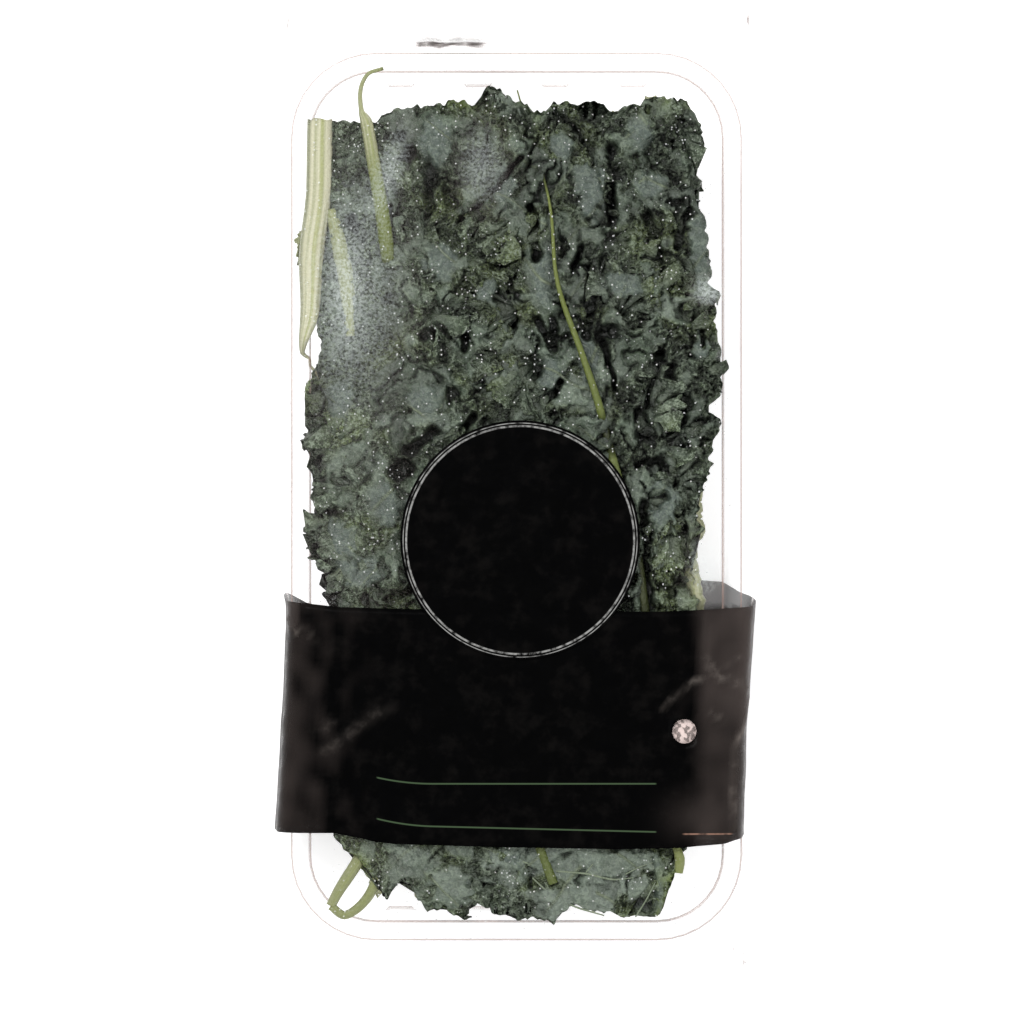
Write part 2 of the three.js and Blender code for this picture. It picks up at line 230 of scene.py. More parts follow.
# The outline of the heap from above: how far it reaches left, right, down and up, by places along each side.
heapEdge = {
    "left": ([-139, -130, -124, -118, -112, -108, -35, -26, -20, -11, -5, -2, 1, 7, 13, 15, 22, 28, 31, 37,
              42, 50, 60, 126],
             [-44, -48, -52, -58, -64, -70, -75.7, -75, -75.4, -75.7, -74.7, -73.4, -72.7, -73.7, -73.4,
              -76.8, -75.7, -74, -74.4, -72.7, -69, -68, -70, -70]),
    "right": ([-139, -132, -125, -117, -110, -35, -26, -23, -17, -14, -11.5, -8.5, -2.5, 0.5, 3.5, 6.5, 9.5,
               15, 18, 21, 24.5, 27.5, 30, 33, 39, 42, 45, 48, 51, 54, 57, 60, 66, 69, 75, 87, 90, 93, 96,
               99, 102, 105, 108, 111, 114, 117, 120, 126, 129],
              [45, 48, 50.5, 54, 58, 58, 56.4, 55.1, 55.4, 57.8, 59.1, 57.8, 57.1, 58.8, 61.1, 62.1, 61.4,
               63.1, 63.7, 65.1, 66.4, 61.1, 63.7, 65.7, 66.7, 69.7, 69.1, 67.7, 66.4, 64.1, 63.7, 66.7,
               66.4, 61, 61.8, 61.1, 61.4, 63.1, 61.4, 62.7, 62.1, 60.1, 58.8, 58.1, 61.4, 60.4, 59.1, 57.4,
               53.5]),
    "down": ([-58, -53, -50.5, -45, -42.5, -40, -37, -34.5, -32, -26.5, -21, -18.5, -16, -13, -10.5, -8,
              -2.5, 0, 5.5, 10.5, 16, 21, 26.5, 32, 42.5, 45, 48, 50.5, 53],
             [-120, -128, -134, -134.6, -129.6, -128.3, -130, -135.3, -138.9, -137.6, -140.6, -141.9, -142,
              -140, -139.3, -141.9, -142.3, -140.3, -142, -141.3, -136.3, -138, -139.6, -140.3, -140.6,
              -139, -132, -125, -118]),
    "up": ([-72.7, -64, -59, -54, -48.5, -46, -43, -40.5, -35, -30, -24.5, -19, -16.5, -14, -11, -8.5, -6,
            -3.5, -0.5, 2, 7, 10, 12.5, 18, 23, 26, 28.5, 31, 34, 36.5, 42, 50, 52.5, 55, 58, 60.5, 62.5],
           [123.7, 124, 123.3, 122.7, 124, 125.3, 127, 128, 128.3, 129, 130, 129.3, 129, 132.6, 134.6, 135,
            131.6, 129.6, 129.3, 127.6, 127, 128.6, 130.3, 129.3, 130.6, 129.6, 128, 127, 128.3, 129, 130.6,
            131.6, 130.3, 128, 125, 123, 119]),
}


def edgeReach(side, along):
    # the outline with waves of three sizes along it
    ragged = 0.4 * noiseLine(along / 6 + 30, 51) + 1.1 * noiseLine(along / 2.4 + 90, 52)
    ragged = ragged + 0.8 * noiseLine(along / 1.1 + 120, 53)
    return np.abs(np.interp(along, *heapEdge[side])) + ragged - 0.2


def fitInPack(points, sunk=0.0, inset=0.0):
    # leaves are pressed under the film, on the tray's floor and against its walls, inside the heap's outline
    x, y, z = (points[..., k].copy() for k in range(3))
    z = np.maximum(z, tray["floorBottom"] + tray["wall"] + 0.5)
    aboveRim, belowRim = smoothRise(z, 33, 38), 1 - np.clip(z / tray["rimTop"], 0, 1)
    for axis, (value, sides, other) in enumerate(((x, ("left", "right"), y), (y, ("down", "up"), x))):
        mouth = tray["rimHalf"][axis] - tray["rimWidth"] - tray["draft"] * belowRim
        wall = mouth - tray["wall"] - 0.8 + 9 * aboveRim
        for sign, side in zip((-1, 1), sides):
            limit = np.minimum(edgeReach(side, other) - inset, wall + sign * tray["centre"][axis])
            value[...] = np.where(sign * value > 0, sign * softLimit(sign * value, limit, 0.6, 0.02), value)
    z = softLimit(z, bagFront(x, y, 1.1) - sunk, 0.3)
    return np.stack([x, y, z], -1)


def drawnIn(points, further):
    # a lobe moved inwards by as much as its furthest tip lies beyond the outline, which keeps its own edge
    x, y = points[..., 0], points[..., 1]
    moved = points.copy()
    for axis, sides, value, other in ((0, ("left", "right"), x, y), (1, ("down", "up"), y, x)):
        for sign, side in zip((-1, 1), sides):
            over = (sign * value - np.abs(np.interp(other, *heapEdge[side]))).max() + further
            moved[..., axis] -= sign * max(0.0, over)
    return moved


def inwardShare(points):
    # 0 at the outside of the heap and 1 at 4.5 mm or more inside it
    x, y, z = (points[..., k] for k in range(3))
    sides = [edgeReach("right", y) - x, edgeReach("left", y) + x]
    sides += [edgeReach("up", x) - y, edgeReach("down", x) + y]
    gaps = np.min([bagFront(x, y, 1.9) - z, z - 2, *sides], axis=0)
    return np.clip(gaps / 4.5, 0, 1)


kale = {
    "firstHeight": 6.1, "pitch": 7.5, "domePerLayer": 0.7, "domeHalfWidth": 72,
    "thickness": 0.5, "ribAtCut": 6.4, "ribAtTip": 1.6,
}
# The leaves: their layer from the bottom, the share of the length that is bare stem, the half widths to the
# left and right of the route, the route from the cut end to the tip, and what else sets a leaf apart: how far
# its midrib shows above the bed, its half width and its tone by shares of the length, twigs (corner points,
# height, half widths, tone) and leaflets (x, y, height, heading, length, spread).
kaleLeaves = {
    "leaf_01": {"layer": 0, "stem": 0.16, "half": (27.5, 28.5),
                "route": [(-34, -129), (-33, -60), (-33, 20), (-34, 128)]},
    "leaf_02": {"layer": 0, "stem": 0.18, "half": (27.5, 27),
                "route": [(27.5, 127), (28, 50), (28, -30), (27, -130)]},
    "leaf_03": {"layer": 1, "stem": 0.18, "half": (28.5, 28),
                "route": [(-35, 129), (-34, 60), (-36, -20), (-35, -131)]},
    "leaf_04": {"layer": 1, "stem": 0.14, "half": (29, 28.5),
                "route": [(30, -131), (28, -60), (27, 20), (29, 130)]},
    "leaf_05": {"layer": 2, "stem": 0.16, "half": (28.5, 30),
                "route": [(-37, -132), (-35, -60), (-34, 20), (-36, 135)]},
    "leaf_06": {"layer": 2, "stem": 0.16, "half": (29, 29.5),
                "route": [(30, 133), (29, 60), (28, -20), (26, -140)]},
    "leaf_07": {"layer": 3, "stem": 0.16, "half": (16, 17),
                "twigs": [
                    ([(-64, 94), (-61.5, 84), (-58.8, 70), (-57.5, 52)], 42.6, (1.8, 2.9, 2.8, 1.6), 0.3)],
                "route": [(-57, -132), (-52, -108), (-48, -50), (-50, 20), (-53, 70), (-55, 124)]},
    "leaf_08": {"layer": 3, "stem": 0.12, "half": (22, 26),
                "route": [(7, -138), (3, -100), (-8, -30), (-14, 50), (-15, 137)]},
    "leaf_09": {"layer": 3, "stem": 0.12, "half": (21, 24.5),
                "route": [(42, 135), (42, 70), (42, 0), (40, -80), (36, -139)]},
    "leaf_10": {"layer": 4, "stem": 0.24, "half": (25, 22), "smooth": 0.45,
                "ribShown": ((0, 0.36, 0.38, 0.415, 0.43, 0.475, 0.49, 0.82, 0.86, 1),
                             (2, 2, 5.5, 5.5, 2, 2, 6.8, 6.8, 3, -4)),
                "ribHalf": ((0, 0.3, 0.5, 0.62, 0.72, 0.84, 1), (2.0, 1.7, 1.3, 0.95, 0.65, 0.4, 0.25)),
                "ribTone": ((0, 0.5, 0.8, 1), (-0.2, -0.45, -0.2, -0.2)),
                "route": [(47, -78), (39.5, -35), (29, 16), (20.2, 45), (10.2, 70), (7.7, 98), (-2, 134)]},
    "leaf_11": {"layer": 4, "stem": 0.27, "half": (20, 25), "smooth": 0.2,
                "ribShown": ((0, 0.33, 0.345), (6.5, 6.5, -3)),
                "ribHalf": ((0, 0.09, 0.11, 0.3, 0.34, 1), (0.6, 0.8, 2.1, 2.5, 2.0, 1.0)),
                "ribTone": ((0, 0.1, 0.15, 0.22, 0.34), (0.2, 0.5, 0.4, -0.1, -0.5)),
                "route": [(-46.8, 141), (-52, 139), (-54.5, 133.5), (-54, 126), (-51.5, 118), (-45, 74),
                          (-41.5, 20), (-36, -62)]},
    "leaf_12": {"layer": 4, "stem": 0.46, "half": (6, 10), "height": 40.7, "ribFlat": 0.5,
                "ribShown": ((0, 0.46, 0.5), (2, 2, -6)), "ribTone": ((0, 1), (0.95, 0.95)),
                "ribHalf": ((0, 0.3, 0.42, 0.5, 1), (4.3, 4.2, 3.0, 0.5, 0.4)),
                "leaflets": [(-71.3, 86.5, 40.5, 262, 11, 18), (-71.3, 85.5, 40, 215, 4.8, 40)],
                "route": [(-67.8, 123), (-69.2, 85), (-70.6, 60), (-73.8, 44.5), (-67, 32), (-58, -30)]},
    "leaf_13": {"layer": 4, "stem": 0.10, "half": (25, 38), "pale": 0.6, "calm": 0.5, "folded": 4,
                "smooth": 0.9,
                "twigs": [([(2.5, -111), (5.1, -117), (9.7, -129)], 44.2, (1.5, 1.5, 1.6), -0.6),
                          ([(10.6, -124.8), (20.6, -125.7), (28.9, -127.5), (36.1, -127)], 44.4,
                           (0.4, 0.45, 0.45, 0.2), 0.3),
                          ([(42.5, -122), (38, -123.5), (33.4, -125.9)], 44.4, (0.15, 0.25, 0.3), 0.3),
                          ([(25.6, -118.9), (23.5, -121.5), (20.4, -125.3)], 44.4, (0.15, 0.25, 0.3), 0.3),
                          ([(43.4, -128.4), (40.5, -134), (36.8, -140)], 44.4, (0.2, 0.3, 0.3), 0.3),
                          ([(2.7, -127), (9, -132.5), (17, -136.6), (26.5, -139.5)], 44.2,
                           (0.3, 0.45, 0.45, 0.3), 0.3),
                          ([(-14, -117), (-6, -119.2), (2.3, -122.7)], 44.2, (0.3, 0.55, 0.4), 0.3),
                          ([(50, -116), (51.5, -121), (51, -125.5)], 43.4, (1.2, 1.7, 1.5), 0.1)],
                "route": [(-4, -60), (8, -85), (19, -112), (24, -143)]},
    "leaf_14": {"layer": 4, "stem": 0.10, "half": (24, 18), "pale": 0.4, "calm": 0.7, "folded": 6,
                "smooth": 0.4,
                "twigs": [([(-50, -111), (-54, -120), (-61, -131), (-64, -136.5)], 41.5,
                           (2.0, 2.1, 2.0, 1.6), 0.25),
                          ([(-64, -136.5), (-59, -139.5), (-52, -134), (-46.5, -123)], 41.5,
                           (1.4, 1.5, 1.7, 1.8), 0.2)],
                "route": [(-26, -68), (-31, -95), (-34, -118), (-35, -142)]},
    "leaf_15": {"layer": 4, "stem": 0.14, "half": (14, 10),
                "route": [(58.5, -52), (58, 10), (52.3, 70), (44.5, 133)]},
}

# Rows and columns of one lobe's grid, and the spacing of the lobes along the midrib, for each layer.
lobeGrids = {0: (6, 24, 27), 1: (5, 22, 30), 2: (6, 26, 27), 3: (7, 36, 17), 4: (8, 42, 16)}
# The crumpled blades of the three upper layers: their grid's spacing where they show, for each layer, and
# where the band hides them, and how far their skirt hangs down.
bladeGrid = {"shown": {2: 1.0, 3: 0.55, 4: 0.5}, "hidden": 2.0, "hiddenFrom": -109, "hiddenTo": -42,
             "skirt": 4.0}
# Places where the heap is sunk between leaves: x, y, radius and depth.
hollows = [(31, 84, 3, 5), (22, 126, 4, 4), (-24, 98, 3, 4), (-38, 112, 3, 5), (3, 40, 3, 4),
           (28, 52, 3.5, 5), (52, 26, 3, 4), (-24, 32, 3, 4), (-40, 8, 4, 4), (-62, -6, 3, 4),
           (47, 40, 3, 5), (55, 60, 3, 4), (-8, 78, 3, 4), (44, -2, 3, 4), (54, -28, 5, 5), (-30, 52, 3, 4),
           (40, 20, 3, 4)]
# Narrow clefts between leaves: corner points, half width and depth.
clefts = [
    ([(1.7, 96), (4.3, 77)], 1.2, 6), ([(29, 114), (31, 105)], 2.2, 4), ([(28.5, 101), (29.5, 90)], 1.9, 8),
    ([(41, 92), (43.5, 77)], 2.0, 8), ([(19, 81.5), (16, 75)], 1.3, 6),
    ([(25, 77), (22, 64), (21, 53)], 1.8, 7), ([(54.5, 93.5), (51.5, 81.5)], 1.1, 6),
    ([(-0.7, 111), (-9, 101), (-21, 90)], 0.9, 6), ([(-8, 65), (-4, 57)], 1.9, 8),
    ([(-44.5, 118), (-40.5, 118)], 1.5, 6), ([(-57, 91), (-54, 85)], 1.5, 7),
    ([(-45, 96), (-44, 82)], 0.9, 5), ([(9.6, 57.6), (10.6, 49)], 1.4, 8), ([(-38, 14), (-30, 21)], 2.0, 5),
    ([(-39, 10), (-38, 7)], 1.6, 6), ([(-62, 3), (-56, 5)], 1.6, 6), ([(-21, 20), (-16.5, 26)], 1.1, 6),
    ([(-20.6, 53), (-19.9, 49)], 1.7, 6), ([(26, 50), (27.5, 44), (30.5, 34)], 1.0, 7),
    ([(45, 47), (43.5, 36), (41, 30)], 1.6, 8), ([(38, 27), (41, 20)], 2.0, 6),
    ([(48, 20), (51, 15)], 1.9, 6), ([(37, 9), (44, 11)], 1.2, 6), ([(45, 10), (50, 3)], 1.2, 5),
    ([(51, -6), (54, -20)], 1.6, 7), ([(40, -3), (41, -38)], 1.8, 5),
    ([(2.3, 28), (10, 33), (13, 37)], 1.0, 7), ([(4, 57), (9, 50)], 1.4, 7),
    ([(-37, -31), (-44, -36)], 1.6, 6), ([(-52, -35), (-48, -38)], 1.2, 6),
    ([(60, 55), (59, 50)], 1.0, 5),
]
# Places where a blade lies flat and smooth under the film: x, y and the two half sizes.
calmPlaces = [
    (22, 100, 6.5, 12), (12, 114, 4, 6), (32.5, 69, 8, 5), (42, 102, 6, 6), (38.5, 119, 5, 7),
    (58.5, 81, 4.5, 17), (7, 71, 3.5, 13), (21, 47, 3.5, 12), (-6.5, 102, 4.5, 9), (-29.5, 116, 7, 9),
    (-28, 77.5, 6, 7), (-12.5, 67.5, 5, 6), (-64, -18, 9, 11), (-44.5, -4, 7, 8), (-61, 31, 8, 7),
    (46, -3, 6, 10), (58.5, 49, 4, 5), (-33, 31, 6, 7), (9, 39, 6, 8), (29.5, -122.5, 19, 4.5),
    (18, -133.6, 14, 5.5), (40, -133, 8, 7), (-24.5, -130, 9, 8), (-6, -121, 9, 4), (-54, -26, 7, 7),
]


def awayFrom(corners, x, y):
    # the distance to the nearest point of a bent line's straight stretches
    nearest = np.full(x.shape, np.inf)
    for (ax, ay), (bx, by) in zip(corners[:-1], corners[1:]):
        lengthSquared = (bx - ax) ** 2 + (by - ay) ** 2
        along = np.clip(((x - ax) * (bx - ax) + (y - ay) * (by - ay)) / lengthSquared, 0, 1)
        nearest = np.minimum(nearest, np.hypot(x - ax - along * (bx - ax), y - ay - along * (by - ay)))
    return nearest


def sunkInClefts(x, y):
    # the deepest of the clefts, each flat near its line and eased out at its sides
    sunk = np.zeros(x.shape)
    for corners, half, depth in clefts:
        sunk = np.maximum(sunk, depth * (1 - smoothRise(awayFrom(corners, x, y), 0.5 * half, 1.4 * half)))
    return sunk


def calmAt(x, y):
    # 1 in the middle of a calm place and 0 outside it
    calm, waver = np.zeros(x.shape), 0.25 * noiseField(x / 2.2 + 30, y / 2.2 + 30, 64)
    for placeX, placeY, halfX, halfY in calmPlaces:
        away = np.hypot((x - placeX) / halfX, (y - placeY) / halfY) + waver
        calm = np.maximum(calm, 1 - smoothRise(away, 0.5, 1.05))
    return calm


def bedHeight(layer, x):
    # each layer is a little more domed than the one below it
    across = np.minimum(1, np.abs(x) / kale["domeHalfWidth"])
    return kale["firstHeight"] + kale["pitch"] * layer + kale["domePerLayer"] * layer * (1 - across**2)


def ruffled(points, distance, levels, seed):
    # each level adds a wave along the outer edge: along the sheet's own normal by the sine of the arc length
    # over its wavelength, and along it by twice that angle, dying away e^-(distance / reach)^1.5 inwards
    for k, (wavelength, size, reach) in enumerate(levels):
        normals = gridNormals(points)
        along = np.gradient(points, axis=1)
        along /= np.maximum(np.linalg.norm(along, axis=-1, keepdims=True), 1e-9)
        steps = np.linalg.norm(np.diff(points[-1], axis=0), axis=1)
        arc = np.concatenate([[0], np.cumsum(steps)])[None] / wavelength
        phase = 2 * np.pi * (arc + 0.7 * noiseLine(arc * 0.7 + 3 * k, seed + k))
        uneven = 1 + 0.5 * noiseLine(arc * 0.9 + 50, seed + 5 + k)
        fade = np.exp(-(distance / reach) ** 1.5) * size * uneven
        points = points + normals * (np.sin(phase) * fade)[..., None]
        points = points - along * (0.45 * np.sin(2 * phase) * fade)[..., None]
    return points


def frillLobe(length, halfAngle, rows, columns, calm, seed):
    # a fan: distance out times the cosine and sine of an angle that opens on the way out, inside a rough
    # outline, gently dented in the middle and ruffled at its edge
    draw = np.random.default_rng(seed)
    u = (1 - (1 - np.linspace(0, 1, rows)) ** 1.9)[:, None]
    w = np.linspace(-1, 1, columns)[None]
    rough = 1 + 0.20 * noiseLine(2.3 * w + 5, seed) + 0.12 * noiseLine(6 * w + 40, seed + 1)
    rough = rough + 0.06 * noiseLine(15 * w + 90, seed + 2)
    outline = length * (0.66 + 0.34 * np.cos(0.45 * np.pi * w)) * rough
    angle = halfAngle * w * (0.3 + 0.7 * u**0.7)
    radius = outline * u
    x, y = radius * np.cos(angle), 3.0 * w * (1 - u) + radius * np.sin(angle)
    fold = noiseField(x / 9 + 30, y / 9 + 30, seed + 3)
    fold = fold + 0.5 * noiseField(x / 4.5 + 30, y / 4.5 + 30, seed + 4)
    z = 2.6 * calm * fold * smoothRise(u, 0, 0.5) - 1.5 * calm * u**2
    points = np.stack(np.broadcast_arrays(x, y, z), -1)
    inwards = outline * (1 - u)
    growth = min(1.0, length / 16) * calm
    levels = (
        (13 * draw.uniform(0.8, 1.2), 4.6 * growth, 7),
        (6 * draw.uniform(0.85, 1.15), 2.3 * growth, 3.8),
        (3.1, 0.9 * growth, 1.8),
    )
    points = ruffled(points, inwards, levels, seed + 8)
    branches = [(0.0, 0.0), (0.42, 0.12), (-0.42, 0.12), (0.8, 0.3), (-0.8, 0.3)]
    vein = np.zeros((rows, columns))
    for aim, fromShare in branches:
        away = np.abs(angle - halfAngle * aim * smoothRise(u, fromShare - 0.15, 1.0) ** 0.6) * radius
        vein = np.maximum(vein, np.exp(-(away / (0.6 - 0.35 * u)) ** 2) * (u > fromShare) * (1 - 0.6 * u))
    return points, np.exp(-inwards / 4.0), vein


def scales(x, y, size, seed):
    # overlapping lobed pieces, one round each point of a jittered lattice, each with its own level and slope
    # and a radius that follows the cosine of a few times the angle: the highest that reaches a point wins
    draw = np.random.default_rng(seed)
    jitter, slope = draw.uniform(0.1, 0.9, (2, 64, 64)), draw.uniform(-0.9, 0.9, (2, 64, 64))
    level, phase = draw.uniform(0, 1, (64, 64)), draw.uniform(0, 6.3, (64, 64))
    lobes = draw.integers(3, 8, (64, 64))
    i, j = np.floor(x / size).astype(int), np.floor(y / size).astype(int)
    highest = np.zeros(x.shape)
    for a in (-1, 0, 1):
        for b in (-1, 0, 1):
            at = (i + a) % 64, (j + b) % 64
            dx, dy = x / size - i - a - jitter[0][at], y / size - j - b - jitter[1][at]
            reach = 0.85 * (1 + 0.16 * np.cos(lobes[at] * np.arctan2(dy, dx) + phase[at]))
            height = level[at] + slope[0][at] * dx + slope[1][at] * dy
            highest = np.where(np.hypot(dx, dy) < reach, np.maximum(highest, height), highest)
    return np.clip(highest, 0, 1.4)


def crumpled(x, y, smooth, seed):
    # how deep a pressed curly blade lies below the film: overlapping scales of two sizes, one-sided cracks
    # e^-(field / width)^2 where a bent noise field has just passed zero, soft dents, and where the blade is
    # curly finer ridges, highest where a fine noise field is near zero
    def waves(size, k, a=x, b=y):
        return noiseField(a / size + 3.1 * k, b / size + 7.3 * k, seed + k)

    def cliff(field, width):
        return np.where(field > 0, np.exp(-(field / width) ** 2), 0)

    bentX = x + 2.8 * waves(9.5, 1) + 1.4 * waves(3.9, 2) + 0.5 * waves(1.3, 3)
    bentY = y + 2.8 * waves(9.5, 4) + 1.4 * waves(3.9, 5) + 0.5 * waves(1.3, 6)
    calm = calmAt(x + 0.7 * (bentX - x), y + 0.7 * (bentY - y))
    smooth = np.maximum(smooth, calm)
    curly = smoothRise(waves(12, 8) + 0.4 * waves(4.5, 9) - 0.9 * smooth, -0.4, 0.15)
    crack = smoothRise(waves(11, 10) - 0.4 * smooth, -0.35, 0.15) * cliff(waves(8, 7, bentX, bentY), 0.22)
    crack = crack * (1 - 0.9 * calm)
    split = smoothRise(waves(6, 11) - 0.5 * smooth, -0.25, 0.2) * cliff(waves(4.2, 17, bentX, bentY), 0.3)
    split = split * (1 - 0.95 * calm)
    fineX, fineY = bentX + 0.4 * waves(1.2, 12), bentY + 0.4 * waves(1.2, 13)
    ridges = np.clip(0.6 - 1.7 * np.abs(waves(1.3, 15, fineX, fineY)), 0, 1)
    curls = 2.2 * cliff(waves(2.7, 14, fineX, fineY), 0.3) + 2.0 * ridges
    sunk = sunkInClefts(0.5 * (x + bentX), 0.5 * (y + bentY))
    for placeX, placeY, radius, size in hollows:
        away = np.hypot(bentX - placeX, bentY - placeY)
        sunk = np.maximum(sunk, size * (1 - smoothRise(away, 0.5 * radius, 1.3 * radius)))
    dents = np.clip(0.4 + 1.0 * waves(6.5, 19) + 0.6 * waves(2.4, 21), 0, 2)
    large = (1.2 - scales(bentX, bentY, 7.5, seed + 30)) * (1 - 0.85 * calm)
    small = (1.2 - scales(fineX, fineY, 2.7, seed + 31)) * curly
    ease = np.interp(x, (-62, 5), (0.52, 1.15)) * np.interp(y, (-118, -106), (0.65, 1))
    folds = 3.4 * crack + 1.8 * split + 1.5 * large + 1.4 * small + (0.05 + 0.6 * curly) * curls
    depth = 0.3 + ease * folds + 0.6 * dents + sunk
    return depth, curly, np.clip(0.5 + 0.8 * waves(7, 20, bentX, bentY), 0, 1), calm


def pressedUnder(x, y, layer):
    # 0 in the open and 1 where a leaf of a higher layer lies 4 mm or more to each side
    covered = np.zeros(x.shape)
    for leaf in kaleLeaves.values():
        if leaf["layer"] > layer and min(leaf["half"]) > 8:
            for px, py in splinePath(leaf["route"], 36)[int(36 * leaf["stem"]) + 6:-4]:
                gap = 0.9 * min(leaf["half"]) - np.hypot(x - px, y - py)
                covered = np.maximum(covered, smoothRise(gap, 0, 4))
    return covered


def nearEdge(x, y):
    # 1 at the left, right and upper edges of the heap, fading e^-(distance / 3 mm) inwards
    gap = np.minimum(edgeReach("right", y) - x, edgeReach("left", y) + x)
    gap = np.minimum(gap, edgeReach("up", x) - y)
    return np.exp(-np.maximum(gap, 0) / 3)


def bladePlan(leaf, lines, seed):
    # where a crumpled blade's grid lies from above: rows along the route, closer where the blade shows, and
    # columns from edge to edge, with the half width wavering by line noise of two sizes
    route, along = lines["route"], lines["along"]
    arc = np.concatenate([[0], np.cumsum(np.linalg.norm(np.diff(route, axis=0), axis=1))])
    hidden = (route[:, 1] > bladeGrid["hiddenFrom"]) & (route[:, 1] < bladeGrid["hiddenTo"])
    spacing = bladeGrid["shown"][leaf["layer"]]
    steps = np.gradient(arc) / np.where(hidden, bladeGrid["hidden"], spacing)
    first = leaf["stem"] if leaf["layer"] == 4 else 0.0
    count = np.cumsum(steps * (along >= first))
    rows = np.interp(np.linspace(0.5, count[-1], int(count[-1])), count, along)
    columns = int(sum(leaf["half"]) * 0.9 / spacing)
    v = np.linspace(1, -1, columns)[None]
    centre = np.stack([np.interp(rows, along, route[:, k]) for k in (0, 1)], -1)[:, None]
    outward = np.stack([np.interp(rows, along, lines["side"][:, k]) for k in (0, 1)], -1)[:, None]
    least = 0.8 if leaf["layer"] < 4 else 0.3
    shape = np.maximum(least, np.interp(rows, along, lines["width"]))[:, None]
    half = np.where(v > 0, leaf["half"][1], leaf["half"][0]) * shape
    waver = 1 + 0.16 * noiseLine(rows[:, None] * 16 + 40 * (v > 0), seed + 61)
    half = half * (waver + 0.08 * noiseLine(rows[:, None] * 47 + 40 * (v > 0), seed + 62))
    plan = centre + outward * (v * half)[..., None]
    return plan[..., 0], plan[..., 1], v, half, np.interp(rows, along, arc)[:, None]


def crumpledBlade(leaf, lines, seed):
    # the grid sunk by the crumple's depth below the film, with a skirt hanging from the edge and a flat
    # underside, and side veins every 19 mm that slant away from the midrib
    x, y, v, half, arc = bladePlan(leaf, lines, seed)
    inner = np.abs(v) * np.ones_like(half)
    smooth = leaf.get("smooth", 0.0) * (1 - smoothRise(inner, 0.35, 0.8))
    depth, curly, tone, calm = crumpled(x, y, smooth, seed * 40)
    margin = (1 - inner) * half
    depth = depth + 1.6 * (1 - smoothRise(margin, 0, 2.5)) + 4.0 * pressedUnder(x, y, leaf["layer"])
    if "ribShown" in leaf:
        depth = depth + 1.3 * np.exp(-(inner * half / 2.4) ** 2)
    drift = 2 * noiseField(x / 12, y / 12, seed + 63)
    branch = (arc - 0.9 * np.abs(v) * half + drift) / 19 + 0.5 * (v > 0)
    offBranch = np.abs(branch - np.round(branch)) * 19
    vein = np.exp(-(offBranch / (0.55 - 0.3 * inner)) ** 2) * np.minimum(1, 1.5 * np.maximum(smooth, calm))
    vein = vein * (1 - 0.6 * inner) * (inner > 0.06)
    top = fitInPack(np.stack([x, y, bagFront(x, y, 1.2) - depth], -1))
    top[..., 2] = np.minimum(top[..., 2], bagFront(top[..., 0], top[..., 1], 1.2) - depth * 0.9)
    top[..., 2] = np.maximum(top[..., 2], 18)
    pale = leaf.get("pale", 0)
    marks = {"tone": 0.7 * tone + 1.4 * pale, "margin": curly * (1 - 0.8 * calm), "vein": vein,
             "inside": inwardShare(top), "young": nearEdge(x, y), "flat": calm * (1 - min(1, 3 * pale))}
    return closedBelow(top, bladeGrid["skirt"], int(15 / bladeGrid["shown"][leaf["layer"]]), marks)


def closedBelow(top, drop, inset, marks):
    # a grid closed by a skirt round its edge, by one quad from side to side for each row and by a fan at each
    # end; the skirt's foot is drawn in at the ends, so that the fans stay inside a ragged end
    rows, columns = top.shape[:2]
    index = np.arange(rows * columns).reshape(rows, columns)
    ring = np.concatenate([index[0, :-1], index[:-1, -1], index[-1, :0:-1], index[:0:-1, 0]])
    place = np.arange(len(ring))
    after = np.roll(place, -1)
    count = rows * columns
    flat = top.reshape(-1, 3)
    inset = min(inset, rows // 3)
    base = top[np.clip(ring // columns, inset, rows - 1 - inset), ring % columns]
    foot = base + 0.02 * (flat[ring] - base) - [0, 0, drop]
    skirt = np.stack([ring, ring[after], count + after, count + place], -1)
    far = count + columns - 1 + np.arange(rows)
    near = count + (len(ring) - np.arange(rows)) % len(ring)
    under = np.stack([near[:-1], far[:-1], far[1:], near[1:]], -1)
    firstEnd = count + np.arange(1, columns - 1)
    lastEnd = count + columns - 1 + rows - 1 + np.arange(1, columns - 1)
    fanFirst = np.stack([np.full(columns - 2, count), firstEnd, firstEnd + 1, firstEnd + 1], -1)
    fanLast = np.stack([np.full(columns - 2, far[-1]), lastEnd, lastEnd + 1, lastEnd + 1], -1)
    faces = np.concatenate([gridFaces(rows, columns), skirt, under, fanFirst, fanLast])
    values = {name: np.concatenate([v.ravel(), v.ravel()[ring]]) for name, v in (
        (n, np.broadcast_to(m, (rows, columns))) for n, m in marks.items())}
    values["inside"][count:] = 1
    return np.concatenate([flat, foot]), faces, values


def turned(points, heading, tilt, roll):
    # rolled about its own length, tilted up from its foot, then turned to its heading
    x, y, z = points[..., 0], points[..., 1], points[..., 2]
    y, z = y * np.cos(roll) - z * np.sin(roll), y * np.sin(roll) + z * np.cos(roll)
    x, z = x * np.cos(tilt) - z * np.sin(tilt), x * np.sin(tilt) + z * np.cos(tilt)
    x, y = x * np.cos(heading) - y * np.sin(heading), x * np.sin(heading) + y * np.cos(heading)
    return np.stack([x, y, z], -1)


def pucker(points, seed, size):
    # small dents of two sizes, worked out from where each point lies in plan
    x, y = points[..., 0], points[..., 1]
    dents = noiseField(x / 2.9 + 60, y / 2.9 + 60, seed)
    dents = dents + 0.5 * noiseField(x / 1.3 + 160, y / 1.3 + 160, seed + 1)
    return points + np.stack([0 * x, 0 * x, size * (dents - 1.5)], -1)


